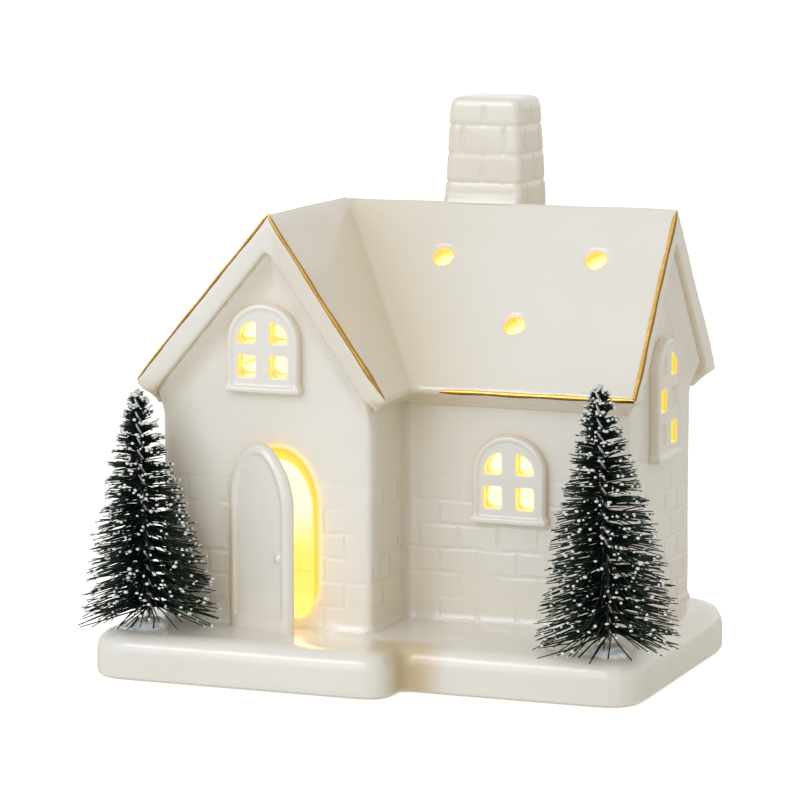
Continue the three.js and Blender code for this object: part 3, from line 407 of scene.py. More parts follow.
def light_up(piece, amount):
    """Writes how much lamplight shows on each vertex, blurred over its neighbours."""
    ends = np.empty(len(piece.data.edges) * 2, np.int32)
    piece.data.edges.foreach_get("vertices", ends)
    first, second = ends.reshape(-1, 2).T
    count = np.bincount(ends, minlength=len(amount))
    for _ in range(2):
        around = np.bincount(first, amount[second], len(amount))
        around += np.bincount(second, amount[first], len(amount))
        amount = (amount + around / np.maximum(count, 1)) / 2
    write_share(piece, "lamplight", amount)


def take_place(piece, node, material, body="house"):
    """Gives a piece its material and lets it stand for its solid."""
    piece.data.materials.append(material)
    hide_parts(node)
    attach(piece, body)


# The walls are one slip-cast shell on an L-shaped plan, luted on to the plinth. They run
# out in a small fillet at their foot and in mouldings under the roof.
plinth_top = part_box("plinth")[1].z
wing_middle = -0.02983
wing_right = wing_middle + 0.0261
main_front = -0.00546
wall_thickness = 0.0034
probe = 2e-4


def outside_walls(places):
    """How far each place lies outside the walls' plan. It is below zero inside them."""
    rooms = (
        (wall_low.x, wing_right, wall_low.y, wall_high.y),
        (wall_low.x, wall_high.x, main_front, wall_high.y))
    reaches = []
    for x_low, x_high, y_low, y_high in rooms:
        x = np.abs(places[:, 0] - (x_low + x_high) / 2) - (x_high - x_low) / 2
        y = np.abs(places[:, 1] - (y_low + y_high) / 2) - (y_high - y_low) / 2
        out = np.hypot(np.maximum(x, 0), np.maximum(y, 0))
        reaches.append(out + np.minimum(np.maximum(x, y), 0))
    return np.minimum(*reaches)


def away_from_walls(places):
    """The level direction that leads straight out from the walls at each place."""
    ahead = []
    for axis in (0, 1):
        step = np.zeros(3)
        step[axis] = probe
        ahead.append(outside_walls(places + step) - outside_walls(places - step))
    ahead = np.stack(ahead, axis=1)
    return ahead / (np.linalg.norm(ahead, axis=1, keepdims=True) + 1e-9)


roof_low, roof_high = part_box("roof")
ridge_top = roof_high.z
front_eave = -0.01296
rear_eave = roof_high.y
main_ridge = 0.02004
eave_top = 0.0685
wing_ridge = wing_middle + 0.001
wing_left_eave = roof_low.x
wing_left_top = 0.0701
wing_right_eave = wing_middle + 0.0309


def roof_surface(places):
    """Height of the roof's outer face over each place."""
    def slope(across, ridge, eave, eave_height):
        return ridge_top - (ridge_top - eave_height) * (across - ridge) / (eave - ridge)
    x, y = places[:, 0], places[:, 1]
    front = slope(y, main_ridge, front_eave, eave_top)
    rear = slope(y, main_ridge, rear_eave, eave_top)
    left = slope(x, wing_ridge, wing_left_eave, wing_left_top)
    right = slope(x, wing_ridge, wing_right_eave, eave_top)
    main = np.minimum(np.minimum(front, rear), left)
    wing = np.minimum(np.minimum(left, right), rear)
    return np.maximum(main, wing)


def outside_arch(across, up, half, foot, spring, rise):
    """Rough distance outside an arched opening, below zero inside it. half is half its
    width, and its sides go straight up from foot to spring, where the arch's rise begins."""
    level = np.maximum(up - spring, 0) / rise
    beside = np.abs(across) - half
    above = (np.hypot(across / half, level) - 1) * half
    return np.maximum(np.where(up > spring, above, beside), foot - up)


walls = cast("house_walls", "glazed_walls", 0.00072, 5)
at = rows_of(walls, "co")
normals = rows_of(walls, "normal")
spread = away_from_walls(at)
depth = -outside_walls(at)
outer = depth < wall_thickness / 2
foot_fillet = 0.0021
sunk_in_plinth = 0.0009
foot_share = np.clip((at[:, 2] - plinth_top) / foot_fillet, 0, 1)
at[:, :2] += spread * (foot_fillet * quarter_round(foot_share) * outer)[:, None]
at[:, 2] -= sunk_in_plinth * (at[:, 2] < plinth_top + 0.0006)

# Under the rakes of the gable front and the right end the moulding is deep and hollow, and
# elsewhere it is small and round. It ends on the roof's under side.
roof_sheet = 0.0054
eave_moulding = 0.0022
rake_moulding = 0.0035
raised_into_roof = 0.0010
near_roof = 0.062
square_to_slope = 0.613
below_roof = (roof_surface(at) - at[:, 2]) * square_to_slope
on_gable = eased(-spread[:, 1], 0.75, 0.98) * (at[:, 1] < wall_low.y + 0.003)
on_end = eased(spread[:, 0], 0.75, 0.98) * (at[:, 0] > wall_high.x - 0.003)
in_rake = np.maximum(on_gable, on_end)
moulding_height = eave_moulding + 0.0034 * in_rake
under_rake = np.clip((below_roof - roof_sheet) / moulding_height, 0, 1)
rolled = eave_moulding * quarter_round(under_rake)
hollowed = rake_moulding * (1 - under_rake) ** 2
at[:, :2] += spread * ((rolled + (hollowed - rolled) * in_rake) * outer)[:, None]
at[:, 2] += raised_into_roof * ((normals[:, 2] > 0.35) & (at[:, 2] > near_roof))
at += waver(at, 0.00012) * eased(depth, 0.0006, 0)[:, None]

# The doorway's edge rolls inwards over a lip, and its lower corners are rounded
doorway_middle = wing_middle + 0.0017
doorway_half = 0.01045
doorway_top = 0.054
doorway_rise = 0.7 * 2 * doorway_half
doorway_spring = doorway_top - doorway_rise
doorway_foot = plinth_top + 0.0025
doorway = (doorway_half, doorway_foot, doorway_spring, doorway_rise)
door_reveal = 0.006
sill_drop = 0.0018
lip_deep = 0.0022
lip_wide = 0.0025
near_front = at[:, 1] < wall_low.y + door_reveal
across = at[:, 0] - doorway_middle
up = at[:, 2].copy()
from_doorway = outside_arch(across, up, *doorway)
turned = np.clip(depth / lip_deep, 0, 1)
narrower = lip_wide * (1 - quarter_round(turned)) * near_front
narrower *= np.clip(1 - from_doorway / door_reveal, 0, 1)
narrower *= np.clip(1 + (up - doorway_foot) / sill_drop, 0, 1)
pull_x = outside_arch(across + probe, up, *doorway) - outside_arch(across - probe, up, *doorway)
pull_z = outside_arch(across, up + probe, *doorway) - outside_arch(across, up - probe, *doorway)
pull = np.hypot(pull_x, pull_z) + 1e-9
at[:, 0] -= narrower * pull_x / pull
at[:, 2] -= narrower * pull_z / pull * (up > doorway_spring)
near_door = near_front & (np.abs(across) < 0.016) & (at[:, 2] < 0.060)
corner_wide = 0.0055
corner_high = 0.0125
for side in (-1, 1):
    above_sill = at[:, 2] - doorway_foot
    from_jamb = doorway_half - side * (at[:, 0] - doorway_middle)
    gap_a = corner_wide - np.clip(from_jamb, 0, corner_wide)
    gap_b = corner_wide - np.clip(above_sill * corner_wide / corner_high, 0, corner_wide)
    off_round = np.sqrt(np.maximum(2 * corner_wide ** 2 - (gap_a - gap_b) ** 2, 0))
    shift = np.maximum((gap_a + gap_b - off_round) / 2, 0)
    shift *= np.clip(1 + from_jamb / door_reveal, 0, 1) * np.clip(1 + above_sill / sill_drop, 0, 1)
    shift *= near_front & (from_jamb < doorway_half)
    at[:, 0] -= side * shift
    at[:, 2] += shift * corner_high / corner_wide
set_points(walls, at)

# Lamplight shows on the rooms' faces and on the doorway's sill, sides and rim
sill_light = 0.80
from_sides = outside_arch(
    across, at[:, 2], doorway_half, doorway_foot - 0.01, doorway_spring, doorway_rise)
rim_light = 0.52 * eased(from_sides, 0.0015, -0.0002) * near_front
rim_light *= eased(at[:, 2], doorway_foot + 0.0005, doorway_foot + 0.006)
reveal_light = 0.48 + 0.12 * eased(depth, 0.0006, 0.0024)
on_sill = near_front & (from_doorway > -0.003) & (at[:, 2] < doorway_foot + 0.0035)
reveal_light = np.where(on_sill | ~near_door, sill_light, reveal_light)
room_light = 0.64 + 0.36 * eased(at[:, 2], 0.0125, 0.030)
inner_light = reveal_light + (room_light - reveal_light) * eased(depth, 0.0024, 0.0033)
looks_out = (normals[:, :2] * spread).sum(axis=1)
walls_light = np.where((depth > 0.00045) & (looks_out < 0.45), inner_light, 0)
walls_light = np.maximum(walls_light, rim_light)
walls_light[(at[:, 2] < plinth_top + 0.0004) & (depth < 0.0024)] = 0
walls_light[(below_roof < 0.0068) & (at[:, 2] > near_roof)] = 0
light_up(walls, np.clip(walls_light, 0, 1))

# Painted shade darkens and warms the glaze in the corner between the wings, under the
# gable's left moulding and on the wall beside the door leaf
leaf_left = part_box("door_leaf")[0].x
in_corner = 0.30 * eased(normals[:, 0], 0.2, 0.8) * (at[:, 1] < main_front + 0.0015)
in_corner *= (at[:, 0] > wing_right - 0.004) * (at[:, 0] < wing_right + 0.003)
in_moulding = 0.08 + 0.30 * eased(at[:, 0], wing_ridge + 0.001, wing_ridge - 0.001)
in_moulding *= on_gable * outer * (1 - under_rake) ** 0.9
beside_leaf = 0.34 * eased(at[:, 0], leaf_left - 0.0050, leaf_left) * eased(at[:, 2], 0.047, 0.034)
beside_leaf *= on_gable * outer * (at[:, 0] < doorway_middle - doorway_half)
write_share(walls, "painted_shade", np.maximum(np.maximum(in_corner, in_moulding), beside_leaf))
take_place(walls, "house_walls", brick_glaze)

# The plinth is a low solid slab of the same casting, with a rolled top edge, a step in its
# front, and a round seat underneath for the light unit. Its floor inside the walls is lit.
plinth = cast("plinth", "glazed_plinth", 0.00062, 4)
at = rows_of(plinth, "co")
above_foot = eased(at[:, 2], 0.0008, 0.003)[:, None]
at += waver(at, 0.0001, 1.4) * above_foot * np.array([1, 1, 0.7])
set_points(plinth, at)
from_walls = outside_walls(at)
on_floor = (from_walls < -wall_thickness + 0.0004) & (at[:, 2] > 0.004)
floor_light = 0.66 + 0.24 * eased(at[:, 1], wall_low.y + 0.034, wall_low.y + 0.029)
light_up(plinth, np.where(on_floor, floor_light, 0))
# Painted shade darkens the crease of the front step and the top beside the house's right end
crease_x = 0.00797
crease_y = -0.03776
from_crease = np.hypot(at[:, 0] - crease_x, at[:, 1] - crease_y)
in_crease = eased(from_crease, 0.0120, 0.0028) * eased(at[:, 1], -0.030, -0.036)
right_of_house = (at[:, 0] > wall_high.x) & (at[:, 2] > 0.008)
beside_house = 0.32 * eased(from_walls, 0.0125, 0.0040) * right_of_house
write_share(plinth, "painted_shade", np.maximum(in_crease, beside_house))
take_place(plinth, "plinth", plain_glaze)

# The roof is a plain sheet with hollow mouldings under its eaves, luted on to the walls.
# Three small round holes in its front slope let the light out.
roof = cast("roof", "glazed_roof", 0.00072, 5)
at = rows_of(roof, "co")
from_walls = outside_walls(at)
on_wall_top = (from_walls < 0.0007) & (from_walls > -0.0003) & (at[:, 2] < 0.0705)
drawn_in = 0.0009
at[:, :2] -= away_from_walls(at) * (drawn_in * on_wall_top)[:, None]
below_share = 0.6
below = (roof_surface(at) - at[:, 2]) * below_share
at += waver(at, 0.00014, 1.2) * eased(below, 0.0022, 0.0004)[:, None]
at[:, 1] = np.minimum(at[:, 1], rear_eave)
set_points(roof, at)
roof_light = 0.36 + 0.54 * eased(below, 0.0010, 0.0050)
roof_light = np.where((below > 0.0006) & (outside_walls(at) < -0.0012), roof_light, 0)
hole_middles = ((-0.00023, 0.01004), (0.03867, 0.01044), (0.02217, -0.00136))
hole_radius = 0.0025
rim_strength = 0.07
rim_fade = 0.0004
steepness = (ridge_top - eave_top) / (main_ridge - front_eave)
out_of_slope = np.array([0, -steepness, 1.0]) / math.hypot(1, steepness)
for x, y in hole_middles:
    offset = at - np.array([x, y, ridge_top - steepness * (main_ridge - y)])
    height = offset @ out_of_slope
    from_middle = np.linalg.norm(offset - height[:, None] * out_of_slope, axis=1)
    on_skin = (np.abs(height) < 0.0012) & (from_middle > hole_radius * 0.8)
    rim_glow = rim_strength * np.exp(-np.maximum(from_middle - hole_radius, 0) / rim_fade)
    roof_light = np.maximum(roof_light, rim_glow * on_skin)
light_up(roof, np.clip(roof_light, 0, 1))
# Painted shade darkens the roof towards the valley between the wing and the main roof
valley = np.array([wing_ridge - wing_right_eave, main_ridge - front_eave])
valley /= np.linalg.norm(valley)
past_valley = (at[:, 0] - wing_right_eave) * valley[1] - (at[:, 1] - front_eave) * valley[0]
on_main = 0.22 * eased(past_valley, 0.032, 0.002)
on_wing = 0.20 + 0.12 * eased(-past_valley, 0.002, 0.014)
on_wing *= eased(at[:, 0], wing_ridge, wing_ridge + 0.003)
in_valley = np.where(past_valley > 0, on_main, on_wing) * (at[:, 1] < main_ridge)
write_share(roof, "painted_shade", in_valley)
take_place(roof, "roof", roof_glaze)

# The chimney is a square stack with shallow brick courses, cast in one and set across the
# ridge with a smear of slip. Painted shade darkens it up to near its top.
chimney = cast("chimney", "glazed_chimney", 0.00036, 7)
at = rows_of(chimney, "co")
smear_wide = 0.0011
smear_high = 0.002
sunk_in_roof = 0.0012
over_roof = at[:, 2] - roof_surface(at)
smear = smear_wide * np.clip(1 - over_roof / smear_high, 0, 1) ** 2 * (over_roof > 0.0002)
outward = at[:, :2] - at[:, :2].mean(axis=0)
outward /= np.linalg.norm(outward, axis=1, keepdims=True)
at[:, :2] += outward * smear[:, None]
at[:, 2] -= sunk_in_roof * (over_roof < 0.0009)
at += waver(at, 0.0001)
at[:, 2] = np.minimum(at[:, 2], cad_high.z)
set_points(chimney, at)
write_share(chimney, "painted_shade", 0.25 * eased(cad_high.z - at[:, 2], 0.0008, 0.0030))
take_place(chimney, "chimney", plain_glaze)


# Each window is a raised arched frame that was pressed on to the wall, with a cross of
# glazing bars and four openings, or on the right end six panes of which three are open.
half_frame = 0.0092
sunk_in_wall = 0.0006
panes_set_back = 0.00045


def window_frame(node, name, out_axis, sign, blind_row_pitch=None):
    """A window whose outer side looks along an axis with a sign. With a row pitch, only
    the panes of a chequered pattern are lit, and the others are closed hollows."""
    low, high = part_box(node)
    made = cast(node, name, 0.00030, 12)
    at = rows_of(made, "co")
    across_axis = 1 - out_axis
    across = at[:, across_axis] - (low[across_axis] + high[across_axis]) / 2
    into = ((low if sign < 0 else high)[out_axis] - at[:, out_axis]) * sign
    from_edge = -outside_arch(across, at[:, 2], half_frame, low.z, high.z - half_frame, half_frame)
    at[:, out_axis] -= sign * sunk_in_wall * eased(into, 0.0017, 0.0024)
    recessed = eased(from_edge, 0.0011, 0.0018) * eased(into, 0.0009, 0.0002)
    at[:, out_axis] -= sign * panes_set_back * recessed
    at += waver(at, 0.00008)
    set_points(made, at)
    pane = eased(from_edge, 0.0016, 0.0022) * (into > 0.0005)
    if blind_row_pitch:
        row = np.floor((at[:, 2] - low.z - 0.0024) / blind_row_pitch).clip(0, 2)
        pane *= (row % 2 == 0) == (across > 0)
    light_up(made, np.clip(pane * (0.22 + 0.32 * eased(into, 0.0003, 0.0022)), 0, 1))
    take_place(made, node, plain_glaze)


window_frame("gable_window_surround", "gable_window_frame", 1, -1)
window_frame("front_window_surround", "front_window_frame", 1, -1)
window_frame("side_window_surround", "side_window_frame", 0, 1, 0.0084)

# The door stands ajar for good: a flat arched leaf with a raised rim and a small knob,
# luted to the left side of the doorway, where it runs into the wall in a fillet.
door = cast("door_leaf", "glazed_door", 0.00032, 20)
at = rows_of(door, "co")
normals = rows_of(door, "normal")
ajar = math.radians(20)
rim_roll = 0.0013
leaf_fillet = 0.0019
top_droop = 0.0016
foot_sunk = 0.0014
along_leaf = at[:, 0] * math.cos(ajar) - at[:, 1] * math.sin(ajar)
leaf_half = (along_leaf.max() - along_leaf.min()) / 2
across_leaf = along_leaf - along_leaf.min() - leaf_half
through_leaf = -at[:, 0] * math.sin(ajar) - at[:, 1] * math.cos(ajar)
through_leaf -= through_leaf.min()
leaf_rise = 1.4 * leaf_half
from_edge = -outside_arch(
    across_leaf, at[:, 2], leaf_half, at[:, 2].min() - 0.004, at[:, 2].max() - leaf_rise, leaf_rise)
edge_round = (1 - np.clip(from_edge / 0.0024, 0, 1)) ** 2
set_back = rim_roll * edge_round * eased(through_leaf, 0.0008, 0.0024)
at[:, 0] += math.sin(ajar) * set_back
at[:, 1] += math.cos(ajar) * set_back
near_wall = np.clip(1 - (wall_low.y - at[:, 1]) / 0.0024, 0, 1) ** 2
luted = leaf_fillet * near_wall * eased(-across_leaf, 0.001, 0.004)
at[:, 0] += luted * normals[:, 0]
at[:, 2] += luted * normals[:, 2]
at[:, 2] -= top_droop * eased(across_leaf, 0, 0.0075) * eased(at[:, 2], 0.036, 0.047)
at[:, 2] -= foot_sunk * (at[:, 2] < plinth_top + 0.0016)
set_points(door, at)
# Painted shade darkens the leaf by its hinge, low down
by_hinge = eased(-across_leaf, leaf_half - 0.0048, leaf_half - 0.0006)
write_share(door, "painted_shade", 0.85 * by_hinge * eased(at[:, 2], 0.046, 0.032))
take_place(door, "door_leaf", plain_glaze)

# Gold lustre was brushed along the roof's edges with a fine brush and fired, so the lines
# stand a little proud, waver, and run out thin at their ends.
# The gold is painted lighter on faces that look towards the window light and darker on the others:
# painted light and shade
shaded_gold = (0.20, 0.085, 0.012)
lustre, tree = new_material("gold_lustre")
streaks = noise_of(tree, 900, 3)
facing = add_node(tree, "NewGeometry")
to_window = add_node(tree, "VectorMath", {
    0: facing.outputs["Normal"], 1: (-0.8, -0.15, 0.8)}, operation="DOT_PRODUCT")
lit_side = step_between(tree, to_window.outputs["Value"], -0.6, 0.75)
lit_gold = mixed(tree, streaks, (0.62, 0.33, 0.05), (0.95, 0.66, 0.20))
connect(tree, tree.nodes["Principled BSDF"], {
    "Base Color": mixed(tree, lit_side, shaded_gold, lit_gold), "Metallic": 1.0,
    "Roughness": step_between(tree, streaks, 0.3, 0.8, 0.16, 0.42)})
roof_skin = BVHTree.FromPolygons(
    [v.co for v in roof.data.vertices], [tuple(p.vertices) for p in roof.data.polygons])
brush = random.Random(5)
gold_radius = 0.00062
gold_pressed_in = 0.00012
stroke_step = 0.0016
stroke_sway = 0.00004


def drawn_round(name, paths, radius, roundness):
    """Round tubes as one piece. A path is a list of places, each with its share of radius."""
    bpy.ops.curve.primitive_bezier_curve_add()
    made = bpy.context.object
    made.name = name
    made.data.splines.clear()
    made.data.dimensions = "3D"
    made.data.bevel_depth = radius
    made.data.bevel_resolution = roundness
    made.data.use_fill_caps = True
    for path in paths:
        spline = made.data.splines.new("POLY")
        spline.points.add(len(path) - 1)
        for point, (place, share) in zip(spline.points, path):
            point.co = (*place, 1)
            point.radius = share
    made.location = (0, 0, 0)
    bpy.ops.object.convert(target="MESH")
    bpy.ops.object.shade_smooth()
    return made


def gold_line(node, name, corners, widths, taper_end):
    """A brushed line along the roof's softened edge. It passes through the given corners,
    and widths holds its share of the full width at each of them."""
    stops = []
    stop_widths = []
    for start, end, wide, next_wide in zip(corners, corners[1:], widths, widths[1:]):
        steps = max(2, int((end - start).length / stroke_step))
        stops += [start.lerp(end, i / steps) for i in range(steps)]
        stop_widths += [wide + (next_wide - wide) * i / steps for i in range(steps)]
    stops.append(corners[-1])
    stop_widths.append(widths[-1])
    phase = brush.uniform(0, 6.28)
    touching = [roof_skin.find_nearest(stop)[:2] for stop in stops]
    path = np.array([tuple(found - normal * gold_pressed_in) for found, normal in touching])
    turns = [np.argmin(np.linalg.norm(path - np.array(corner), axis=1)) for corner in corners]
    kept = path[turns].copy()
    for _ in range(6):
        path[1:-1] = (path[:-2] + 2 * path[1:-1] + path[2:]) / 4
        path[turns] = kept
    line = []
    for index, thin in enumerate(stop_widths):
        sway = Vector((
            math.sin(index * 0.55 + phase), math.sin(index * 0.31), math.cos(index * 0.47 + phase)))
        thin = min(thin, 0.55 + index / 4)
        if taper_end:
            thin = min(thin, 0.4 + (len(stops) - 1 - index) / 6)
        press = 0.97 + 0.1 * math.sin(index * 0.8 + phase)
        line.append((Vector(path[index]) + sway * stroke_sway, thin * press))
    take_place(drawn_round(name, [line], gold_radius, 3), node, lustre)


rake_y = roof_low.y
rake_x = roof_high.x
gold_line("gold_line_wing_rakes", "gold_on_wing_rakes", [
    Vector((wing_left_eave, rake_y, wing_left_top)), Vector((wing_ridge, rake_y, ridge_top)),
    Vector((wing_right_eave, rake_y, eave_top))], (0.65, 0.75, 1.05), True)
gold_line("gold_line_main_rake", "gold_on_main_rake", [
    Vector((rake_x, main_ridge, ridge_top)), Vector((rake_x, front_eave, eave_top))],
    (1, 1), False)
gold_line("gold_line_main_eave", "gold_on_main_eave", [
    Vector((0.0075, front_eave, eave_top - 0.0004)),
    Vector((rake_x, front_eave, eave_top - 0.0002))], (1, 1), False)

# Each tree is a bottle brush: stiff dyed bristles held between two twisted wires, trimmed
# to a cone, dabbed with white flock and glued upright in a small mound of snow.
bristle_green = toned(
    "dyed_bristle", 700, 1, (0.001, 0.006, 0.004), (0.007, 0.026, 0.014), Roughness=0.45,
    Specular_IOR_Level=0.3)
bare_wire = toned(
    "galvanised_wire", 500, 2, (0.52, 0.52, 0.50), (0.74, 0.74, 0.72), Roughness=0.45,
    Metallic=0.55)
flock = toned("white_flock", 900, 2, (0.80, 0.84, 0.88), (0.93, 0.94, 0.95), Roughness=0.85)
tree = flock.node_tree
crumbs = add_node(tree, "Bump", {
    "Height": noise_of(tree, 1800, 3), "Distance": 0.0003, "Strength": 0.8})
connect(tree, tree.nodes["Principled BSDF"], {"Normal": crumbs})


def taken_apart(pattern):
    """The vertex places and the faces of a pattern piece, which is then removed."""
    places = rows_of(pattern, "co")
    faces = [tuple(p.vertices) for p in pattern.data.polygons]
    bpy.data.objects.remove(pattern)
    return places, faces


# One bristle, drawn along +Z with a length of 1: three-sided, with a bend halfway
bpy.ops.mesh.primitive_cylinder_add(vertices=3, radius=1, depth=1, location=(0, 0, 0.5))
bpy.ops.object.transform_apply(location=True, rotation=False, scale=False)
bpy.ops.object.mode_set(mode="EDIT")
bpy.ops.mesh.select_all(action="SELECT")
bpy.ops.mesh.bisect(plane_co=(0, 0, 0.55), plane_no=(0, 0, 1))
bpy.ops.object.mode_set(mode="OBJECT")
bristle_places, bristle_faces = taken_apart(bpy.context.object)

# One dab of flock
bpy.ops.mesh.primitive_ico_sphere_add(subdivisions=1, radius=1, location=(0, 0, 0))
bpy.ops.transform.resize(value=(1, 0.85, 0.8))
bpy.ops.object.transform_apply(location=False, rotation=False, scale=True)
dab_places, dab_faces = taken_apart(bpy.context.object)

tree_lean = math.radians(-3)
wire_pitch = 0.0060
wire_radius = 0.00033
wire_off_middle = 0.0005
bristle_off_middle = 0.0004
first_bristle = 0.0048
bristle_count = 1450
bristle_radius = 0.00021
off_wall = 0.0007
off_box = 0.0009
dabbed_tips = 0.48
dabbed_middles = 0.13
mound_radius = 0.0042
below_tip_mm = (0, 3, 9, 21, 30, 42, 49, 58)
reach_mm = (0.5, 1.9, 4.0, 7.8, 11, 14.2, 16.0, 17.4)


def bent_bristle(start, middle, tip, thickness):
    """One bristle through three places, with its share of thickness at each of them."""
    turned = (tip - start).to_track_quat("Z", "Y").to_matrix()
    copy = np.empty_like(bristle_places)
    for row, (x, y, up) in enumerate(bristle_places):
        stage = 0 if up < 0.1 else 1 if up < 0.9 else 2
        thick = bristle_radius * thickness[stage]
        copy[row] = (start, middle, tip)[stage] + turned @ Vector((x * thick, y * thick, 0))
    return copy


def kept_clear(point, chance):
    """Keeps a bristle's point off the wall and plinth, and inside the object's box."""
    if wall_low.x - 0.0006 < point.x < wing_right and point.y > wall_low.y - off_wall:
        point.y = wall_low.y - off_wall - chance.uniform(0, 0.001)
    point.x = min(max(point.x, cad_low.x + off_box), cad_high.x - off_box)
    point.y = max(point.y, cad_low.y + off_box)
    point.z = max(point.z, plinth_top + 0.0004)


def gathered(name, places, faces):
    """Many small copies as one piece. places holds one array of vertices for each copy."""
    mesh = bpy.data.meshes.new(name)
    joined_faces = []
    for index, copy in enumerate(places):
        joined_faces += [tuple(v + index * len(copy) for v in face) for face in faces]
    mesh.from_pydata(np.concatenate(places).tolist(), [], joined_faces)
    made = bpy.data.objects.new(name, mesh)
    bpy.context.scene.collection.objects.link(made)
    for polygon in mesh.polygons:
        polygon.use_smooth = True
    return made


def plant(side, seed, tree_height, strays):
    """One tree. Its strays are bristles that slipped out of the twist, each given by its
    start, its bend and its tip, from the foot of the tree."""
    chance = random.Random(seed)
    mound_low, mound_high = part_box(f"{side}_tree_mound")
    root = Vector(((mound_low.x + mound_high.x) / 2, (mound_low.y + mound_high.y) / 2, mound_low.z))
    lean = Matrix.Translation(root) @ Matrix.Rotation(tree_lean, 4, "Y")
    strands = []
    dabs = []
    for index in range(bristle_count):
        share = index / (bristle_count - 1)
        z = first_bristle + share ** 0.92 * (tree_height - first_bristle)
        reach = float(np.interp((tree_height + 0.001 - z) * 1000, below_tip_mm, reach_mm)) / 1000
        turn = -2 * math.pi * z / wire_pitch + (index % 2) * math.pi + chance.gauss(0, 0.40)
        tilt = math.radians(-11 + 44 * share ** 2.4 + chance.gauss(0, 5))
        length = reach / math.cos(tilt) * chance.uniform(0.84, 1.05)
        aim = Vector((math.cos(turn) * math.cos(tilt), math.sin(turn) * math.cos(tilt), math.sin(tilt)))
        start = Vector((math.cos(turn) * bristle_off_middle, math.sin(turn) * bristle_off_middle, z))
        tip = start + aim * length
        middle = start.lerp(tip, 0.55) + Vector((0, 0, length * chance.uniform(-0.01, 0.05)))
        start, middle, tip = lean @ start, lean @ middle, lean @ tip
        kept_clear(middle, chance)
        kept_clear(tip, chance)
        strands.append(bent_bristle(start, middle, tip, (1.0, 0.95, 0.6)))
        if chance.random() < dabbed_tips:
            dabs.append((tip, chance.uniform(0.00032, 0.00052)))
        if chance.random() < dabbed_middles:
            spot = start.lerp(tip, chance.uniform(0.45, 0.9))
            dabs.append((spot, chance.uniform(0.00028, 0.00044)))
    for _ in range(9):
        spot = Vector((
            chance.uniform(-0.0006, 0.0006), chance.uniform(-0.0006, 0.0006),
            tree_height + chance.uniform(0, 0.0012)))
        dabs.append((lean @ spot, chance.uniform(0.0004, 0.0006)))
    for start, middle, tip in strays:
        strands.append(bent_bristle(
            root + Vector(start), root + Vector(middle), root + Vector(tip), (1, 1, 1)))
    bristles = gathered(f"{side}_bristles", strands, bristle_faces)
    take_place(bristles, f"{side}_tree_bristles", bristle_green)
    clumps = []
    for centre, size in dabs:
        turned = Matrix.Rotation(chance.uniform(0, 6.28), 3, "Z")
        turned = turned @ Matrix.Rotation(chance.uniform(0, 6.28), 3, "X")
        stretch = (size * chance.uniform(0.9, 1.5), size, size * chance.uniform(0.7, 1.1))
        clumps.append(np.array([tuple(centre + turned @ Vector(row * stretch)) for row in dab_places]))
    dusting = gathered(f"{side}_flock", clumps, dab_faces)
    dusting.data.materials.append(flock)
    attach(dusting, "house")

    # The two wires are twisted together, and their cut ends stand out at the tip
    wire_foot = 0.0004
    wire_top = tree_height + 0.0012
    stops = 150
    wires = []
    for strand in (0, math.pi):
        wire = []
        for index in range(stops):
            z = wire_foot + (wire_top - wire_foot) * index / (stops - 1)
            turn = -2 * math.pi * z / wire_pitch + strand + math.pi / 2
            x = math.cos(turn) * wire_off_middle
            y = math.sin(turn) * wire_off_middle
            wire.append((lean @ Vector((x, y, z)), 1))
        wires.append(wire)
    twisted = drawn_round(f"{side}_twisted_wire", wires, wire_radius, 2)
    take_place(twisted, f"{side}_tree_wire", bare_wire)

    # The mound is a low heap of flock in glue
    bpy.ops.mesh.primitive_uv_sphere_add(
        segments=40, ring_count=20, radius=mound_radius, location=root)
    mound = bpy.context.object
    mound.name = f"{side}_snow_mound"
    bpy.ops.transform.resize(value=(1, 1, 0.55), center_override=root)
    bpy.ops.object.transform_apply(location=True, rotation=False, scale=True)
    at = rows_of(mound, "co")
    x, y = at[:, 0], at[:, 1]
    heap = np.sin(x * 2100 + seed) * np.sin(y * 1700 + 1) + np.sin(x * 3900 - y * 3100)
    at += (at - np.array(root)) * (0.09 * heap)[:, None]
    at[:, 2] = np.maximum(at[:, 2], root.z - 0.0004)
    set_points(mound, at)
    bpy.ops.object.shade_smooth()
    take_place(mound, f"{side}_tree_mound", flock)


plant("left", 11, 0.0562, (
    ((-0.0002, -0.0004, 0.0052), (-0.0041, -0.0024, 0.0034), (-0.0064, -0.0036, 0.0004)),
    ((0.0001, -0.0005, 0.0048), (0.0004, -0.0018, 0.0030), (-0.0002, -0.0034, 0.0004)),
    ((0.0004, -0.0004, 0.0046), (0.0020, -0.0022, 0.0028), (0.0024, -0.0036, 0.0004)),
    ((-0.0003, -0.0004, 0.0050), (-0.0016, -0.0022, 0.0030), (-0.0030, -0.0046, 0.0004))))
plant("right", 23, 0.0618, (
    ((-0.0002, -0.0005, 0.0050), (-0.0006, -0.0046, 0.0030), (-0.0020, -0.0092, -0.0006)),
    ((-0.0004, -0.0004, 0.0050), (-0.0030, -0.0040, 0.0030), (-0.0052, -0.0076, 0.0002)),
    ((0.0004, -0.0004, 0.0050), (0.0034, -0.0036, 0.0030), (0.0074, -0.0066, 0.0004)),
    ((0.0003, -0.0005, 0.0046), (0.0012, -0.0040, 0.0026), (0.0018, -0.0070, 0.0004)),
    ((0.0000, -0.0005, 0.0048), (-0.0012, -0.0040, 0.0028), (-0.0020, -0.0078, 0.0002))))


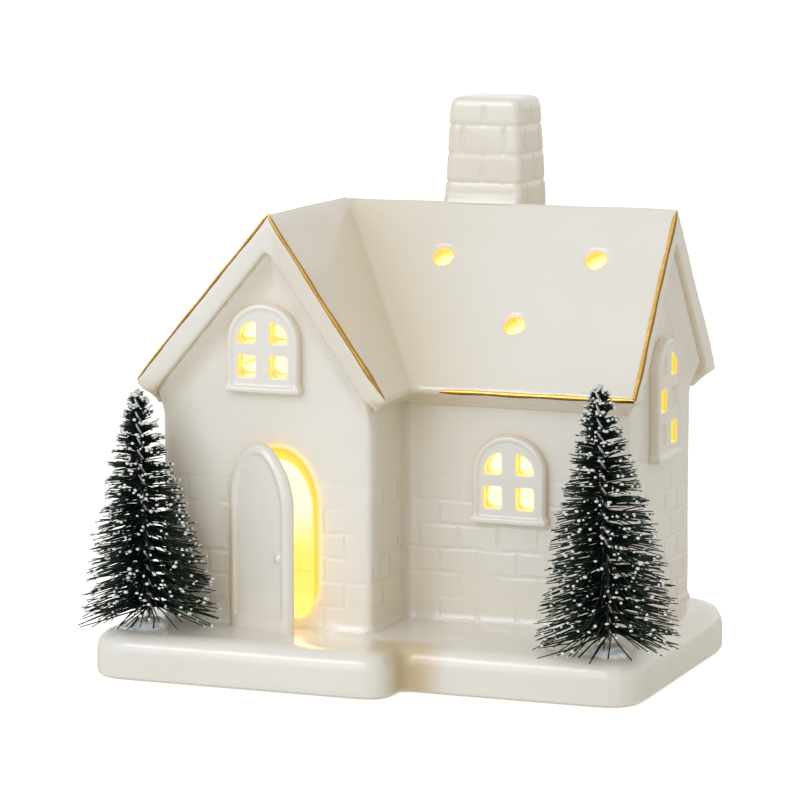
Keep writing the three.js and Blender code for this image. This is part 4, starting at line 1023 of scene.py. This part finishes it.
# The light unit is a round moulded housing that plugs into the base with a soft sealing
# ring. It holds a coin cell behind a screwed door, a slide switch, a board and the lamp.
def trimmed(node, name, material, body, edge):
    """A copy of a solid with its edges broken by a small bevel."""
    made = copy_of(node, name)
    bpy.ops.mesh.dissolve_limited(angle_limit=math.radians(1))
    bpy.ops.object.mode_set(mode="OBJECT")
    sharp = math.radians(32)
    reshape(made, "BEVEL", width=edge, segments=2, limit_method="ANGLE", angle_limit=sharp)
    bpy.ops.object.shade_smooth_by_angle(angle=sharp)
    take_place(made, node, material, body)


white_moulding = toned(
    "white_moulding", 400, 2, (0.76, 0.76, 0.73), (0.82, 0.82, 0.79), Roughness=0.42)
soft_ring = toned("silicone", 400, 2, (0.60, 0.60, 0.57), (0.68, 0.68, 0.65), Roughness=0.6)
nickel = toned(
    "nickel_plate", 900, 2, (0.55, 0.54, 0.50), (0.68, 0.66, 0.61), Roughness=0.3, Metallic=1.0)
solder_mask = toned("solder_mask", 400, 2, (0.02, 0.13, 0.05), (0.03, 0.17, 0.07), Roughness=0.35)
black_moulding = toned(
    "black_moulding", 400, 2, (0.012, 0.012, 0.013), (0.022, 0.022, 0.024), Roughness=0.45)
lens = toned(
    "lamp_lens", 400, 2, (0.95, 0.72, 0.36), (1.0, 0.80, 0.45), Roughness=0.12,
    Emission_Color=(1.0, 0.72, 0.28), Emission_Strength=3.0)

for node, name, material, slot_name, body, edge_mm in (
        ("module_housing", "light_unit_housing", white_moulding, "white_plastic", "light_module", 0.15),
        ("module_gasket", "sealing_ring", soft_ring, "gasket", "light_module", 0.2),
        ("circuit_board", "lamp_board", solder_mask, "board", "light_module", 0.08),
        ("led_lamp", "lamp", lens, "lamp_lens", "light_module", 0.06),
        ("coin_cell", "coin_cell_can", nickel, "steel", "light_module", 0.06),
        ("contact_leaf", "sprung_contact", nickel, "steel", "light_module", 0.05),
        ("contact_clip", "rim_contact", nickel, "steel", "light_module", 0.05),
        ("switch_case", "switch_body", black_moulding, "black_plastic", "light_module", 0.06),
        ("battery_door", "battery_cover", white_moulding, "white_plastic", "battery_door", 0.12),
        ("battery_door_screw", "cover_screw", nickel, "steel", "battery_door", 0.06),
        ("switch_slider", "switch_knob", black_moulding, "black_plastic", "switch_slider", 0.08)):
    trimmed(node, name, material, body, edge_mm / 1000)
